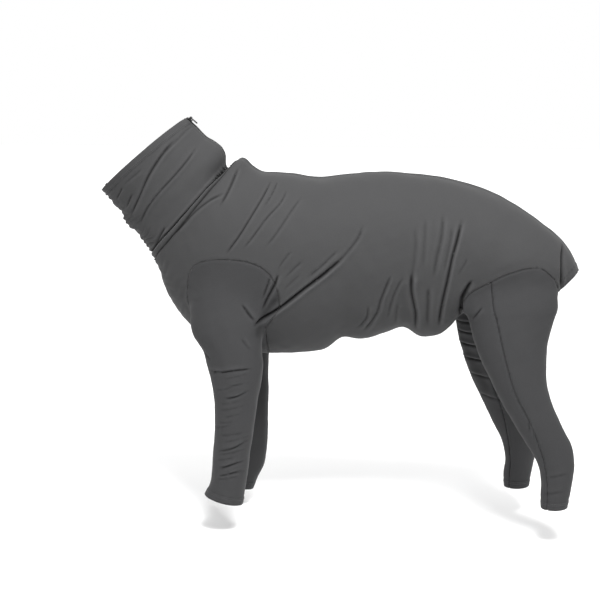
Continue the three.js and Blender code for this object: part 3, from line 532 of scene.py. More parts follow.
def outline_distance(points, outline):
    """Signed distance in the X Z plane to a closed outline, positive inside."""
    outline = np.asarray(outline, float)
    nearest = np.full(len(points), 1e9)
    inside = np.zeros(len(points), bool)
    px, pz = points[:, 0], points[:, 2]
    for (ax, az), (bx, bz) in zip(outline, np.roll(outline, -1, axis=0)):
        dx, dz = bx - ax, bz - az
        share = np.clip(((px - ax) * dx + (pz - az) * dz) / (dx * dx + dz * dz), 0, 1)
        away = np.hypot(px - ax - share * dx, pz - az - share * dz)
        nearest = np.minimum(nearest, away)
        if az != bz:
            crosses = (az > pz) != (bz > pz)
            inside ^= crosses & (px < ax + (pz - az) * dx / dz)
    return np.where(inside, nearest, -nearest)


def leg_field(points, outer, inner, outer_y, inner_y, right):
    """Positive where the cloth belongs to a leg: an outer line and an inner one, and between them a mix."""
    side = points[:, 1] * (1 if right else -1)
    share = np.sqrt(np.clip((side - inner_y) / (outer_y - inner_y), 0, 1))
    mixed = outline_distance(points, inner) * (1 - share) + outline_distance(points, outer) * share
    return np.minimum(mixed, side - inner_y + 4.0)


# Below every hem
BOTTOM_Z = -1200.0

# The armhole's line on the outer and on the inner side: the arch's shift in millimetres, its centre's
# drop in chest depths, its length and height in shares, and its foot's drop in sleeve lengths.
ARMHOLE_OUTER = {"shift": -4.0, "centre": 0.167, "length": 1.06, "height": 1.0, "foot": 0.238}
ARMHOLE_INNER = {"shift": 0.0, "centre": 0.43, "length": 0.62, "height": 0.3, "foot": 0.443}
ARMHOLE_ANGLES = (-5, 190)
ARMHOLE_SQUARENESS = 0.8
ARMHOLE_OUTER_Y = SLEEVE_SPREAD + 0.1 * SLEEVE_HALF_WIDTH
ARMHOLE_INNER_Y = SLEEVE_SPREAD - 1.35 * SLEEVE_HALF_WIDTH
THIGH_OUTER_Y = HIND_SPREAD
THIGH_INNER_Y = HIND_SPREAD - 1.5 * THIGH_HALF_WIDTH


def armhole_outline(line, right):
    """An arch over the shoulder, and the region below it that the sleeve takes up."""
    angle = np.radians(np.linspace(*ARMHOLE_ANGLES, 41))
    c, s = np.cos(angle), np.sin(angle)
    c, s = (np.sign(v) * np.abs(v) ** ARMHOLE_SQUARENESS for v in (c, s))
    x = SHOULDER[0] + line["shift"] + line["length"] * ARMHOLE_LENGTH / 2 * c
    z = SHOULDER[1] - line["centre"] * CHEST_DEPTH + line["height"] * ARMHOLE_HEIGHT * s
    rear = SHOULDER[0] + 0.44 * SLEEVE_DEPTH - right * RIGHT_SLEEVE_STEP
    foot_z = SHOULDER[1] - line["foot"] * SLEEVE_LENGTH
    foot = [
        (SHOULDER[0] - 0.67 * SLEEVE_DEPTH, foot_z),
        (SHOULDER[0] - 0.95 * SLEEVE_DEPTH, foot_z - 0.14 * SLEEVE_LENGTH),
        (SHOULDER[0] - 0.95 * SLEEVE_DEPTH, BOTTOM_Z),
        (rear, BOTTOM_Z),
        (rear + 0.01 * SLEEVE_DEPTH, foot_z),
    ]
    return np.vstack([np.column_stack([x, z]), foot])


def armhole_field(points, right):
    outer, inner = armhole_outline(ARMHOLE_OUTER, right), armhole_outline(ARMHOLE_INNER, right)
    return leg_field(points, outer, inner, ARMHOLE_OUTER_Y, ARMHOLE_INNER_Y, right)


def thigh_field(points, right):
    seam = catmull_rom(THIGH_SEAM, 4) * [THIGH_DEPTH, CHEST_DEPTH, THIGH_DEPTH, CHEST_DEPTH]

    def outline(x, z):
        end = z[-1]
        foot = [
            (HIP[0] + 0.62 * THIGH_DEPTH, end - 0.1 * CHEST_DEPTH),
            (HIP[0] + 0.95 * THIGH_DEPTH, end - 0.4 * CHEST_DEPTH),
            (HIP[0] + 0.95 * THIGH_DEPTH, BOTTOM_Z),
            (HIP[0] - 0.65 * THIGH_DEPTH, BOTTOM_Z),
            (HIP[0] - 0.65 * THIGH_DEPTH, end - 0.35 * CHEST_DEPTH),
        ]
        return np.vstack([np.column_stack([HIP[0] + x, z]), foot])

    outer = outline(seam[:, 0], seam[:, 1])
    inner = outline(seam[:, 2], seam[:, 3])
    return leg_field(points, outer, inner, THIGH_OUTER_Y, THIGH_INNER_Y, right)


def panel_field(points, right):
    """Positive in front of a hind leg's lengthwise seam."""
    line = catmull_rom(hind_rows(right), 4)[:, 6:8][::-1]
    return np.interp(points[:, 2], line[:, 1], line[:, 0]) - points[:, 0]


def neck_along(points):
    flat = points[:, [0, 2]] - SEAM_MIDDLE
    across = flat @ ACROSS / SEAM_DEPTH
    return flat @ ALONG + 3.0 * (1 - 4 * across * across)


def neck_across(points):
    return (points[:, [0, 2]] - SEAM_MIDDLE) @ ACROSS


def second_line(points):
    """Distance from the second line of the neck seam, which parts from the first towards the throat."""
    return neck_along(points) + 6 + 5 * np.clip(0.5 - neck_across(points) / SEAM_DEPTH, 0, 1)


def rim_field(points):
    """Distance past the neck's rim."""
    top, low = NECK_ROWS[-1, 0:2], NECK_ROWS[-1, 2:4]
    out = np.array([-(top - low)[1], (top - low)[0]])
    out /= np.linalg.norm(out)
    return (points[:, [0, 2]] - low) @ out


TAIL_TOP = BODY_ROWS[-1, 0:2]
TAIL_LOW = BODY_ROWS[-1, 2:4]


def tail_field(points):
    """Distance past the tail end, inside the tail's tube only."""
    run = TAIL_TOP - TAIL_LOW
    out = np.array([run[1], -run[0]]) / np.linalg.norm(run)
    flat = points[:, [0, 2]] - (TAIL_TOP + TAIL_LOW) / 2
    past = flat @ out
    reach = np.linalg.norm(run) / 2 + 6
    half = BODY_ROWS[-1, 4] + 6
    tube = 1 - np.hypot(points[:, 1] / half, flat @ run / np.linalg.norm(run) / reach)
    return np.minimum(past, tube * reach)


def hem_field(points, rows, right):
    """Distance past a leg's hem, on that leg only."""
    front, rear = rows[-1, 0:2], rows[-1, 2:4]
    run = (rear - front) / np.linalg.norm(rear - front)
    out = np.array([run[1], -run[0]])
    past = (points[:, [0, 2]] - front) @ out
    own = points[:, 1] * (1 if right else -1) > 0
    near = points[:, 2] > min(front[1], rear[1]) - 60
    middle = (front[0] + rear[0]) / 2
    near &= np.abs(points[:, 0] - middle) < 110
    near &= points[:, 2] < max(front[1], rear[1]) + 60
    return np.where(own & near, past, -200.0)


def dorsal_share(points):
    """Positive near the top line of the neck and back, where the zip lies."""
    top = np.interp(points[:, 0], BODY_ROWS[:, 0], BODY_ROWS[:, 1])
    on_back = 30 - (top - points[:, 2])
    on_nape = neck_across(points) - 0.3 * SEAM_DEPTH
    return np.where(neck_along(points) > 0, on_nape, on_back)


ZIP_END_X = BODY_ROWS[-ZIP_END_ROW, 0]


def slot_field(points):
    """Positive inside the zip's slot."""
    inside = np.minimum(ZIP_SLOT_HALF - np.abs(points[:, 1]), ZIP_END_X - points[:, 0])
    return np.minimum(inside, dorsal_share(points))


def smoothstep(low, high, value):
    share = np.clip((value - low) / (high - low), 0, 1)
    return share * share * (3 - 2 * share)


def soft_noise(points, size, seed):
    """Smooth noise of about -1 to 1 that changes over the given length."""
    rng = np.random.default_rng(seed)
    total = np.zeros(len(points))
    for _ in range(12):
        way = rng.normal(size=3)
        way *= 2 * math.pi / (np.linalg.norm(way) * size * rng.uniform(0.7, 1.6))
        total += np.sin(points @ way + rng.uniform(0, 2 * math.pi))
    return total / 3.5


def refined(points, faces, wanted):
    """Halves every edge whose ends are both wanted, and splits the faces to match."""
    edges = np.sort(np.vstack([faces[:, [0, 1]], faces[:, [1, 2]], faces[:, [2, 0]]]), axis=1)
    keys = edges[:, 0] * len(points) + edges[:, 1]
    unique, first, back = np.unique(keys, return_index=True, return_inverse=True)
    pairs = edges[first]
    split = wanted[pairs[:, 0]] & wanted[pairs[:, 1]]
    number = np.full(len(unique), -1)
    number[split] = len(points) + np.arange(split.sum())
    middle = points[pairs[split]].mean(axis=1)
    points = np.vstack([points, middle])
    cut = number[back].reshape(3, -1).T
    made = []
    count = (cut >= 0).sum(axis=1)
    made.append(faces[count == 0])
    for turn in range(3):
        a, b, c = faces[:, turn], faces[:, (turn + 1) % 3], faces[:, (turn + 2) % 3]
        ab, bc, ca = cut[:, turn], cut[:, (turn + 1) % 3], cut[:, (turn + 2) % 3]
        one = (count == 1) & (ab >= 0)
        made.append(np.column_stack([a, ab, c])[one])
        made.append(np.column_stack([ab, b, c])[one])
        two = (count == 2) & (ab < 0)
        made.append(np.column_stack([c, ca, bc])[two])
        made.append(np.column_stack([ca, a, b])[two])
        made.append(np.column_stack([ca, b, bc])[two])
    three = count == 3
    a, b, c = faces[three].T
    ab, bc, ca = cut[three].T
    for corner in ([a, ab, ca], [b, bc, ab], [c, ca, bc], [ab, bc, ca]):
        made.append(np.column_stack(corner))
    return points, np.vstack(made)


def cut_along(points, faces, labels, field, only=None):
    """Splits the faces where the field is 0. Returns points, faces, labels and each face's side."""
    value = field(points)
    if only is not None:
        used = np.zeros(len(points), bool)
        used[faces[only].ravel()] = True
    else:
        used = np.ones(len(points), bool)
    near = used & (np.abs(value) < 0.3 * VOXEL)
    spot = points[near]
    step = 0.05
    slope = np.column_stack([(field(spot + step * np.eye(3)[k]) - value[near]) / step for k in range(3)])
    size = np.maximum((slope * slope).sum(axis=1), 0.25)
    move = slope * (value[near] / size)[:, None]
    long = np.linalg.norm(move, axis=1)
    move *= np.minimum(1, 0.4 * VOXEL / np.maximum(long, 1e-9))[:, None]
    points[near] -= move
    value[near] = 0.0
    active = np.ones(len(faces), bool) if only is None else only
    sign = np.sign(value)
    corner = sign[faces]
    crossing = active & (corner.min(axis=1) < 0) & (corner.max(axis=1) > 0)
    whole = ~crossing
    cutting = faces[crossing]
    edges = np.sort(np.vstack([cutting[:, [0, 1]], cutting[:, [1, 2]], cutting[:, [2, 0]]]), axis=1)
    keys = edges[:, 0] * len(points) + edges[:, 1]
    unique, first, back = np.unique(keys, return_index=True, return_inverse=True)
    pairs = edges[first]
    va, vb = value[pairs[:, 0]], value[pairs[:, 1]]
    split = va * vb < 0
    number = np.full(len(unique), -1)
    number[split] = len(points) + np.arange(split.sum())
    share = (va[split] / (va[split] - vb[split]))[:, None]
    middle = points[pairs[split, 0]] * (1 - share) + points[pairs[split, 1]] * share
    cut = number[back].reshape(3, -1).T
    kept = [faces[whole]]
    kept_labels = [labels[whole]]
    own = labels[crossing]
    count = (cut >= 0).sum(axis=1)
    for turn in range(3):
        a, b, c = cutting[:, turn], cutting[:, (turn + 1) % 3], cutting[:, (turn + 2) % 3]
        ab, bc, ca = cut[:, turn], cut[:, (turn + 1) % 3], cut[:, (turn + 2) % 3]
        one = (count == 1) & (ab >= 0)
        two = (count == 2) & (ab < 0)
        for mask, corners in (
            (one, (a, ab, c)),
            (one, (ab, b, c)),
            (two, (c, ca, bc)),
            (two, (ca, a, b)),
            (two, (ca, b, bc)),
        ):
            kept.append(np.column_stack(corners)[mask])
            kept_labels.append(own[mask])
    points = np.vstack([points, middle])
    value = np.concatenate([value, np.zeros(len(middle))])
    faces = np.vstack(kept)
    labels = np.concatenate(kept_labels)
    return points, faces, labels, value[faces].sum(axis=1)


NAMES = [
    "neck_tube",
    "body_left",
    "body_right",
    "front_sleeve_left",
    "front_sleeve_right",
    "hind_leg_left_front_panel",
    "hind_leg_left_rear_panel",
    "hind_leg_right_front_panel",
    "hind_leg_right_rear_panel",
]
SLOT_LABEL = 90
NECK, BODY, SLEEVE, HIND_FRONT, HIND_REAR = 0, 1, 3, 5, 6


def openings():
    """The fields of the seven open ends: positive past the edge."""
    fields = [rim_field, tail_field]
    for right in (0, 1):
        for rows in (sleeve_rows(right), hind_rows(right)):
            fields.append(lambda p, rows=rows, right=right: hem_field(p, rows, right))
    return fields


def cut_panels(points, faces):
    """Cuts the skin at its open ends and along its seams. Returns points, faces and panel labels."""
    labels = np.zeros(len(faces), int)
    for field in openings():
        points, faces, labels, side = cut_along(points, faces, labels, field)
        faces, labels = faces[side <= 0], labels[side <= 0]
    points, faces, labels, side = cut_along(points, faces, labels, neck_along)
    labels = np.where(side > 0, NECK, BODY)
    for right in (0, 1):
        only = labels == BODY
        points, faces, labels, side = cut_along(
            points, faces, labels, lambda p: armhole_field(p, right), only
        )
        labels = np.where((labels == BODY) & (side > 0), SLEEVE + right, labels)
        only = labels == BODY
        points, faces, labels, side = cut_along(
            points, faces, labels, lambda p: thigh_field(p, right), only
        )
        labels = np.where((labels == BODY) & (side > 0), HIND_REAR + 2 * right, labels)
        only = labels == HIND_REAR + 2 * right
        points, faces, labels, side = cut_along(
            points, faces, labels, lambda p: panel_field(p, right), only
        )
        front = (labels == HIND_REAR + 2 * right) & (side > 0)
        labels = np.where(front, HIND_FRONT + 2 * right, labels)
    points, faces, labels, side = cut_along(points, faces, labels, lambda p: p[:, 1], labels == BODY)
    labels = np.where((labels == BODY) & (side > 0), BODY + 1, labels)
    zipped = labels <= BODY + 1
    points, faces, labels, side = cut_along(points, faces, labels, slot_field, zipped)
    labels = np.where((labels <= BODY + 1) & (side > 0), SLOT_LABEL, labels)
    return points, faces, labels


def normals_of(points, faces):
    """Outward unit normals at the points."""
    a, b, c = points[faces[:, 0]], points[faces[:, 1]], points[faces[:, 2]]
    flat = np.cross(b - a, c - a)
    total = np.zeros_like(points)
    for corner in range(3):
        for axis in range(3):
            total[:, axis] += np.bincount(faces[:, corner], flat[:, axis], len(points))
    return total / np.maximum(np.linalg.norm(total, axis=1), 1e-12)[:, None]


def bump(distance, width):
    return np.exp(-((distance / width) ** 2))


def crease_height(points, normals, crease, side):
    """How far one crease moves the cloth, on the left (-1) or right (1) side, and its painted shade and
    painted highlight.
    """
    part, depth, width, ridge, *spots = crease
    line = catmull_rom(spots, 6)
    if side > 0 and part == "sleeve":
        line = line - [RIGHT_SLEEVE_STEP, 0.0]
    if side > 0 and part == "hind":
        line = line - [0.5 * RIGHT_HIND_STEP, 0.0]
    reach = 5 * width + 4
    low, high = line.min(axis=0) - reach, line.max(axis=0) + reach
    px, pz = points[:, 0], points[:, 2]
    near = (px > low[0]) & (px < high[0]) & (pz > low[1]) & (pz < high[1])
    near &= normals[:, 1] * side > 0.05
    if part in ("sleeve", "hind"):
        near &= points[:, 1] * side > 20
    if part.startswith("inner"):
        near &= points[:, 1] * side < -20
    spot = points[near][:, [0, 2]]
    best = np.full(len(spot), 1e9)
    offset = np.zeros(len(spot))
    place = np.zeros(len(spot))
    runs = np.linalg.norm(np.diff(line, axis=0), axis=1)
    start = 0.0
    for a, b, run in zip(line, line[1:], runs):
        way = (b - a) / run
        rel = spot - a
        along = np.clip(rel @ way, 0, run)
        away = np.linalg.norm(rel - along[:, None] * way, axis=1)
        closer = away < best
        best = np.where(closer, away, best)
        turned = way[0] * rel[:, 1] - way[1] * rel[:, 0]
        offset = np.where(closer, np.where(turned > 0, away, -away), offset)
        place = np.where(closer, start + along, place)
        start += run
    long = runs.sum()
    fade = smoothstep(0, 0.14 * long + 4, place) * (1 - smoothstep(long - min(18, 0.4 * long), long, place))
    fade *= smoothstep(0.05, 0.3, normals[near, 1] * side)
    height = np.zeros(len(points))
    height[near] = fade * (
        -depth * bump(offset, 0.75 * width)
        + ridge * bump(offset - 1.7 * width, 1.4 * width)
        + 0.3 * ridge * bump(offset + 1.9 * width, 1.4 * width)
    )
    # Painted shade in the crease's bottom, and painted highlight on the folds beside it
    painted_crease_shading = np.zeros(len(points))
    painted_crease_shading[near] = fade * (
        0.34 * depth * bump(offset, 0.58 * width)
        - 0.17 * ridge * bump(offset - 1.6 * width, 0.9 * width)
        - 0.06 * ridge * bump(offset + 1.7 * width, 0.9 * width)
    )
    return height, painted_crease_shading


def part_masks(points):
    """How much each point belongs to the neck, the body, the sleeves and the hind legs."""
    neck = smoothstep(-2, 2, neck_along(points))
    sleeve = np.maximum(armhole_field(points, 0), armhole_field(points, 1))
    hind = np.maximum(thigh_field(points, 0), thigh_field(points, 1))
    sleeve = smoothstep(-3, 3, sleeve) * (1 - neck)
    hind = smoothstep(-3, 3, hind) * (1 - neck)
    return {
        "neck": neck,
        "sleeve": sleeve,
        "hind": hind,
        "body": (1 - neck) * (1 - sleeve) * (1 - hind),
        "inner hind": hind,
        "all": np.ones(len(points)),
    }


def seam_fields(points):
    """Distances to the seam lines, far where a line doesn't run."""
    far = 99.0
    neck = neck_along(points)
    on_body = neck < 0
    fields = []
    legs = np.full(len(points), -far)
    for right in (0, 1):
        arm = armhole_field(points, right)
        thigh = thigh_field(points, right)
        fields.append(np.where(on_body, arm, far))
        fields.append(np.where(on_body, thigh, far))
        fields.append(np.where(thigh > 0, panel_field(points, right), far))
        legs = np.maximum(legs, np.maximum(arm, thigh))
    low = on_body & (legs < 0) & (dorsal_share(points) < 0)
    fields.append(np.where(low, points[:, 1], far))
    return fields


def cloth_height(points, normals):
    """How far the cloth stands out from the plain form, and the light and shade painted into its colour: 1
    for painted shade in a crease, -1 for painted highlight on a fold.
    """
    height = 0.7 * soft_noise(points, 85, 3) + 0.25 * soft_noise(points, 26, 4)
    painted_shade_and_highlight = np.zeros(len(points))
    masks = part_masks(points)
    for crease in CREASES:
        for side in (-1, 1):
            moved, painted_crease_shading = crease_height(points, normals, crease, side)
            height += masks[crease[0]] * moved
            painted_shade_and_highlight += masks[crease[0]] * painted_crease_shading
    pucker = 0.6 + 0.4 * soft_noise(points, 9, 5)
    for field in seam_fields(points):
        height += -1.0 * bump(field, 1.3) + 0.5 * pucker * bump(np.abs(field) - 4.0, 2.0)
        # Painted shade along the bottom of each seam's groove
        painted_shade_and_highlight += 0.24 * bump(field, 1.0)
    neck = neck_along(points)
    across = neck_across(points) / SEAM_DEPTH
    height += -2.4 * bump(neck - 0.5, 1.5) + 1.6 * bump(neck + 3.6, 2.0)
    second = second_line(points)
    height -= (1.6 + 0.6 * pucker) * bump(second, 1.5)
    height -= 5.0 * bump(neck + 1, 6.0) * smoothstep(0.3, 0.5, across)
    # Painted shade along the neck seam and its second line, and painted highlight on the roll between them
    # and on the neck beside the seam
    painted_shade_and_highlight += 0.95 * bump(neck - 0.5, 1.8) + (0.85 + 0.15 * pucker) * bump(second, 1.7)
    painted_shade_and_highlight -= 0.35 * bump(neck + 3.2, 1.4) + 0.25 * bump(neck - 4.5, 1.6)
    throat = smoothstep(-0.22, -0.42, across) * (1 - smoothstep(4, 14, rim_field(points) + 14))
    ripple = np.sin(2 * math.pi * (neck / 9.5 + 0.5 * soft_noise(points, 40, 8)))
    height += 1.1 * throat * ripple * smoothstep(0, 6, neck)
    # Painted shade in the hollows of the throat's ripples
    painted_shade_and_highlight += 0.25 * throat * smoothstep(0.3, 1.0, -ripple) * smoothstep(0, 6, neck)
    forward = smoothstep(0.3, 0.7, -normals[:, 0]) * smoothstep(-0.32, -0.42, across)
    forward *= smoothstep(-125, -105, neck) * (1 - smoothstep(-12, -6, neck))
    height += 0.6 * forward * np.sin(2 * math.pi * (neck / 17 + 0.5 * soft_noise(points, 60, 9)))
    # Painted shade on the sleeves' inner faces, low down, where they face the other sleeve
    inside = 0.4 * masks["sleeve"] * smoothstep(-205, -250, points[:, 2])
    painted_shade_and_highlight += inside * smoothstep(0.2, 0.7, -np.sign(points[:, 1]) * normals[:, 1])
    for field in openings():
        past = field(points)
        height += 0.6 * smoothstep(-HEM_WIDTH - 0.8, -HEM_WIDTH + 0.8, past)
        height -= 0.5 * bump(past + HEM_WIDTH, 1.3)
        height += 0.2 * bump(past + HEM_WIDTH / 2, HEM_WIDTH / 2) * soft_noise(points, 8, 6)
        # Painted shade along the inner edge of each hem
        painted_shade_and_highlight += 0.3 * bump(past + HEM_WIDTH, 1.0)
    top = smoothstep(0, 8, dorsal_share(points)) * (points[:, 0] < ZIP_END_X + 4)
    height -= 0.7 * top * bump(np.abs(points[:, 1]) - 12.5, 1.4)
    height += 0.5 * top * bump(np.abs(points[:, 1]) - 7.5, 3.5)
    return height, np.clip(painted_shade_and_highlight, -1, 1)


def detail_wanted(points, normals, least, reach):
    """The points that need finer triangles: creases whose painted shade and highlight reach at least that
    strength, and seams within that reach.
    """
    wanted = np.zeros(len(points), bool)
    for crease in CREASES:
        if crease[2] < PAINTED_SHADE_PATCH:
            for side in (-1, 1):
                wanted |= np.abs(crease_height(points, normals, crease, side)[1]) > least
    neck = neck_along(points)
    if reach > 1:
        for field in seam_fields(points):
            wanted |= np.abs(field) < reach
        wanted |= (neck > 0) & (neck_across(points) < -0.25 * SEAM_DEPTH)
    wanted |= (np.abs(neck - 0.5) < 2 * reach) | (np.abs(second_line(points)) < 2 * reach)
    return wanted


def panel_mesh(name, points, faces, painted_shade_and_highlight, material):
    """A mesh of one panel, from its share of the faces."""
    used, index = np.unique(faces, return_inverse=True)
    mesh = bpy.data.meshes.new(name)
    mesh.vertices.add(len(used))
    mesh.vertices.foreach_set("co", (points[used] * 0.001).ravel())
    mesh.loops.add(len(faces) * 3)
    mesh.loops.foreach_set("vertex_index", index.ravel().astype(np.int32))
    mesh.polygons.add(len(faces))
    mesh.polygons.foreach_set("loop_start", np.arange(0, len(faces) * 3, 3, dtype=np.int32))
    mesh.update(calc_edges=True)
    mesh.validate()
    # The attribute crease holds the painted shade and painted highlight that the jersey reads
    mesh.attributes.new("crease", "FLOAT", "POINT").data.foreach_set("value", painted_shade_and_highlight[used])
    mesh.materials.append(material)
    mesh.shade_smooth()
    return mesh


def new_material(name):
    material = bpy.data.materials.new(name)
    material.use_nodes = True
    return material, material.node_tree.nodes, material.node_tree.links


def jersey(name, colour, light):
    """Soft knitted jersey: fine wales, a faint heather, painted shade in creases and painted highlight on
    folds, and a soft sheen at the edges.
    """
    material, nodes, links = new_material(name)
    skin = nodes["Principled BSDF"]
    skin.inputs["Roughness"].default_value = 0.8
    skin.inputs["Specular IOR Level"].default_value = 0.16
    skin.inputs["Sheen Weight"].default_value = 0.05
    skin.inputs["Sheen Roughness"].default_value = 0.4
    place = nodes.new("ShaderNodeTexCoord")
    heather = nodes.new("ShaderNodeTexNoise")
    heather.inputs["Scale"].default_value = 900
    heather.inputs["Detail"].default_value = 2
    links.new(place.outputs["Object"], heather.inputs["Vector"])
    mix = nodes.new("ShaderNodeMix")
    mix.data_type = "RGBA"
    mix.inputs[6].default_value = (*colour, 1)
    mix.inputs[7].default_value = (*light, 1)
    links.new(heather.outputs["Fac"], mix.inputs[0])
    # Painted shade in creases, from the crease attribute
    crease = nodes.new("ShaderNodeAttribute")
    crease.attribute_name = "crease"
    painted_shade_mix = nodes.new("ShaderNodeMix")
    painted_shade_mix.data_type = "RGBA"
    painted_shade_mix.inputs[7].default_value = (*(PAINTED_SHADE_SHARE * v for v in colour), 1)
    links.new(crease.outputs["Fac"], painted_shade_mix.inputs[0])
    links.new(mix.outputs[2], painted_shade_mix.inputs[6])
    painted_highlight_share = nodes.new("ShaderNodeMath")
    painted_highlight_share.operation = "MULTIPLY"
    painted_highlight_share.inputs[1].default_value = -1
    painted_highlight_share.use_clamp = True
    links.new(crease.outputs["Fac"], painted_highlight_share.inputs[0])
    # Painted highlight on folds, from the negative part of the crease attribute
    painted_highlight_mix = nodes.new("ShaderNodeMix")
    painted_highlight_mix.data_type = "RGBA"
    painted_highlight_mix.inputs[7].default_value = (*(PAINTED_HIGHLIGHT_SHARE * v for v in colour), 1)
    links.new(painted_highlight_share.outputs[0], painted_highlight_mix.inputs[0])
    links.new(painted_shade_mix.outputs[2], painted_highlight_mix.inputs[6])
    links.new(painted_highlight_mix.outputs[2], skin.inputs["Base Color"])
    knit = nodes.new("ShaderNodeTexWave")
    knit.inputs["Scale"].default_value = 350
    knit.inputs["Distortion"].default_value = 1.5
    knit.inputs["Detail"].default_value = 1
    links.new(place.outputs["Object"], knit.inputs["Vector"])
    relief = nodes.new("ShaderNodeBump")
    relief.inputs["Strength"].default_value = 0.12
    relief.inputs["Distance"].default_value = 0.0002
    links.new(knit.outputs["Fac"], relief.inputs["Height"])
    links.new(relief.outputs["Normal"], skin.inputs["Normal"])
    return material


def plain(name, colour, roughness, metallic=0.0):
    material, nodes, _ = new_material(name)
    skin = nodes["Principled BSDF"]
    skin.inputs["Base Color"].default_value = (*colour, 1)
    skin.inputs["Roughness"].default_value = roughness
    skin.inputs["Metallic"].default_value = metallic
    return material


BODY_JERSEY = jersey("body_jersey", (0.032, 0.032, 0.0328), (0.043, 0.043, 0.0438))
LIMB_JERSEY = jersey("limb_jersey", (0.0265, 0.0265, 0.0275), (0.036, 0.036, 0.0372))
TAPE = plain("zip_tape", (0.02, 0.02, 0.022), 0.9)
COIL = plain("zip_coil", (0.012, 0.012, 0.013), 0.45)
ENAMEL = plain("zip_enamel", (0.004, 0.004, 0.0045), 0.55)
THREAD = plain("thread", (0.05, 0.05, 0.052), 0.7)


def make_cloth():
    """Builds all the cloth panels, each in the place of its node, and gives the whole skin back."""
    points, faces = whole_skin()
    points = eased(points, faces, LEG_TOP_EASING * leg_tops(points), LEG_TOP_STEPS)
    normals = normals_of(points, faces)
    for least, reach in REFINEMENTS:
        points, faces = refined(points, faces, detail_wanted(points, normals, least, reach))
        normals = normals_of(points, faces)
    points, faces, labels = cut_panels(points, faces)
    normals = normals_of(points, faces)
    height, painted_shade_and_highlight = cloth_height(points, normals)
    points = points + normals * height[:, None]
    for number, name in enumerate(NAMES):
        own = faces[labels == number]
        material = BODY_JERSEY if number <= BODY + 1 else LIMB_JERSEY
        obj = object_of(name, panel_mesh(name, points, own, painted_shade_and_highlight, material))
        wall = obj.modifiers.new("wall", "SOLIDIFY")
        wall.thickness = CLOTH_THICK * 0.001
        wall.offset = -1
        settle(obj)
        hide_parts(name)
        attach(obj, "suit")
    return BVHTree.FromPolygons(points.tolist(), faces.tolist())


def joined(name, parts, material):
    """One object from several (points, faces) in millimetres."""
    points, faces = np.zeros((0, 3)), []
    for own, own_faces in parts:
        faces += [tuple(i + len(points) for i in f) for f in own_faces]
        points = np.vstack([points, own])
    mesh = mesh_of(name, points * 0.001, faces)
    mesh.materials.append(material)
    mesh.shade_smooth()
    return object_of(name, mesh)


def zip_path(pitch):
    """Points down the top line from the neck's rim to the zip's end, with the way out of the cloth."""
    tops = catmull_rom(TRUNK_ROWS, 6)[:, 0:2]
    tops = tops[: 1 + np.argmax(tops[:, 0] > ZIP_END_X)]
    runs = np.concatenate([[0], np.cumsum(np.linalg.norm(np.diff(tops, axis=0), axis=1))])
    at = np.arange(0, runs[-1], pitch)
    spots = np.column_stack([np.interp(at, runs, tops[:, k]) for k in range(2)])
    way = np.gradient(spots, axis=0)
    soft = np.ones(9) / 9
    way = np.column_stack([np.convolve(np.pad(way[:, k], 4, "edge"), soft, "valid") for k in range(2)])
    way /= np.linalg.norm(way, axis=1)[:, None]
    return spots, np.column_stack([-way[:, 1], way[:, 0]])


def under_skin(skin, spot, out, y, depth):
    """The point that lies a depth below the cloth's face, over a place of the top line."""
    start = Vector((spot[0] + RAY_START * out[0], y, spot[1] + RAY_START * out[1]))
    hit = skin.ray_cast(start, Vector((-out[0], 0.0, -out[1])), RAY_REACH)[0]
    if hit is None:
        hit = Vector((spot[0], y, spot[1]))
    return [hit.x - depth * out[0], y, hit.z - depth * out[1]]


def make_tapes(skin):
    """The zip's two tapes, under the edges of the back's slot."""
    spots, outs = zip_path(2.5)
    for name, side in (("zip_tape_left", -1), ("zip_tape_right", 1)):
        columns = np.linspace(TAPE_INNER, TAPE_OUTER, 5) * side
        points = [under_skin(skin, p, o, y, TAPE_SINK) for p, o in zip(spots, outs) for y in columns]
        wide = len(columns)
        faces = []
        for r in range(len(spots) - 1):
            for c in range(wide - 1):
                a = r * wide + c
                quad = (a, a + wide, a + wide + 1, a + 1)
                faces.append(quad if side > 0 else quad[::-1])
        obj = joined(name, [(np.array(points), faces)], TAPE)
        wall = obj.modifiers.new("wall", "SOLIDIFY")
        wall.thickness = TAPE_THICK * 0.001
        wall.offset = -1
        settle(obj)
        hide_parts(name)
        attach(obj, "suit")


def node_group(name, sizes):
    """A geometry node group with geometry in and out, and a named input for each size."""
    group = bpy.data.node_groups.new(name, "GeometryNodeTree")
    group.interface.new_socket("Geometry", in_out="INPUT", socket_type="NodeSocketGeometry")
    for size in sizes:
        group.interface.new_socket(size, in_out="INPUT", socket_type="NodeSocketFloat")
    group.interface.new_socket("Geometry", in_out="OUTPUT", socket_type="NodeSocketGeometry")
    return group, group.nodes.new("NodeGroupInput"), group.nodes.new("NodeGroupOutput")


def finish_group(group, instances, out, material):
    """Ends a group: the instances made real, smooth, in their material."""
    real = group.nodes.new("GeometryNodeRealizeInstances")
    smooth = group.nodes.new("GeometryNodeSetShadeSmooth")
    dressed = group.nodes.new("GeometryNodeSetMaterial")
    dressed.inputs["Material"].default_value = material
    group.links.new(instances, real.inputs["Geometry"])
    group.links.new(real.outputs["Geometry"], smooth.inputs["Geometry"])
    group.links.new(smooth.outputs["Geometry"], dressed.inputs["Geometry"])
    group.links.new(dressed.outputs["Geometry"], out.inputs["Geometry"])


def run_group(obj, group, sizes):
    """Puts the group on the object with its sizes, and settles the result."""
    sockets = {item.name: item.identifier for item in group.interface.items_tree}
    modifier = obj.modifiers.new(group.name, "NODES")
    modifier.node_group = group
    for name, value in sizes.items():
        modifier[sockets[name]] = value
    return settle(obj)


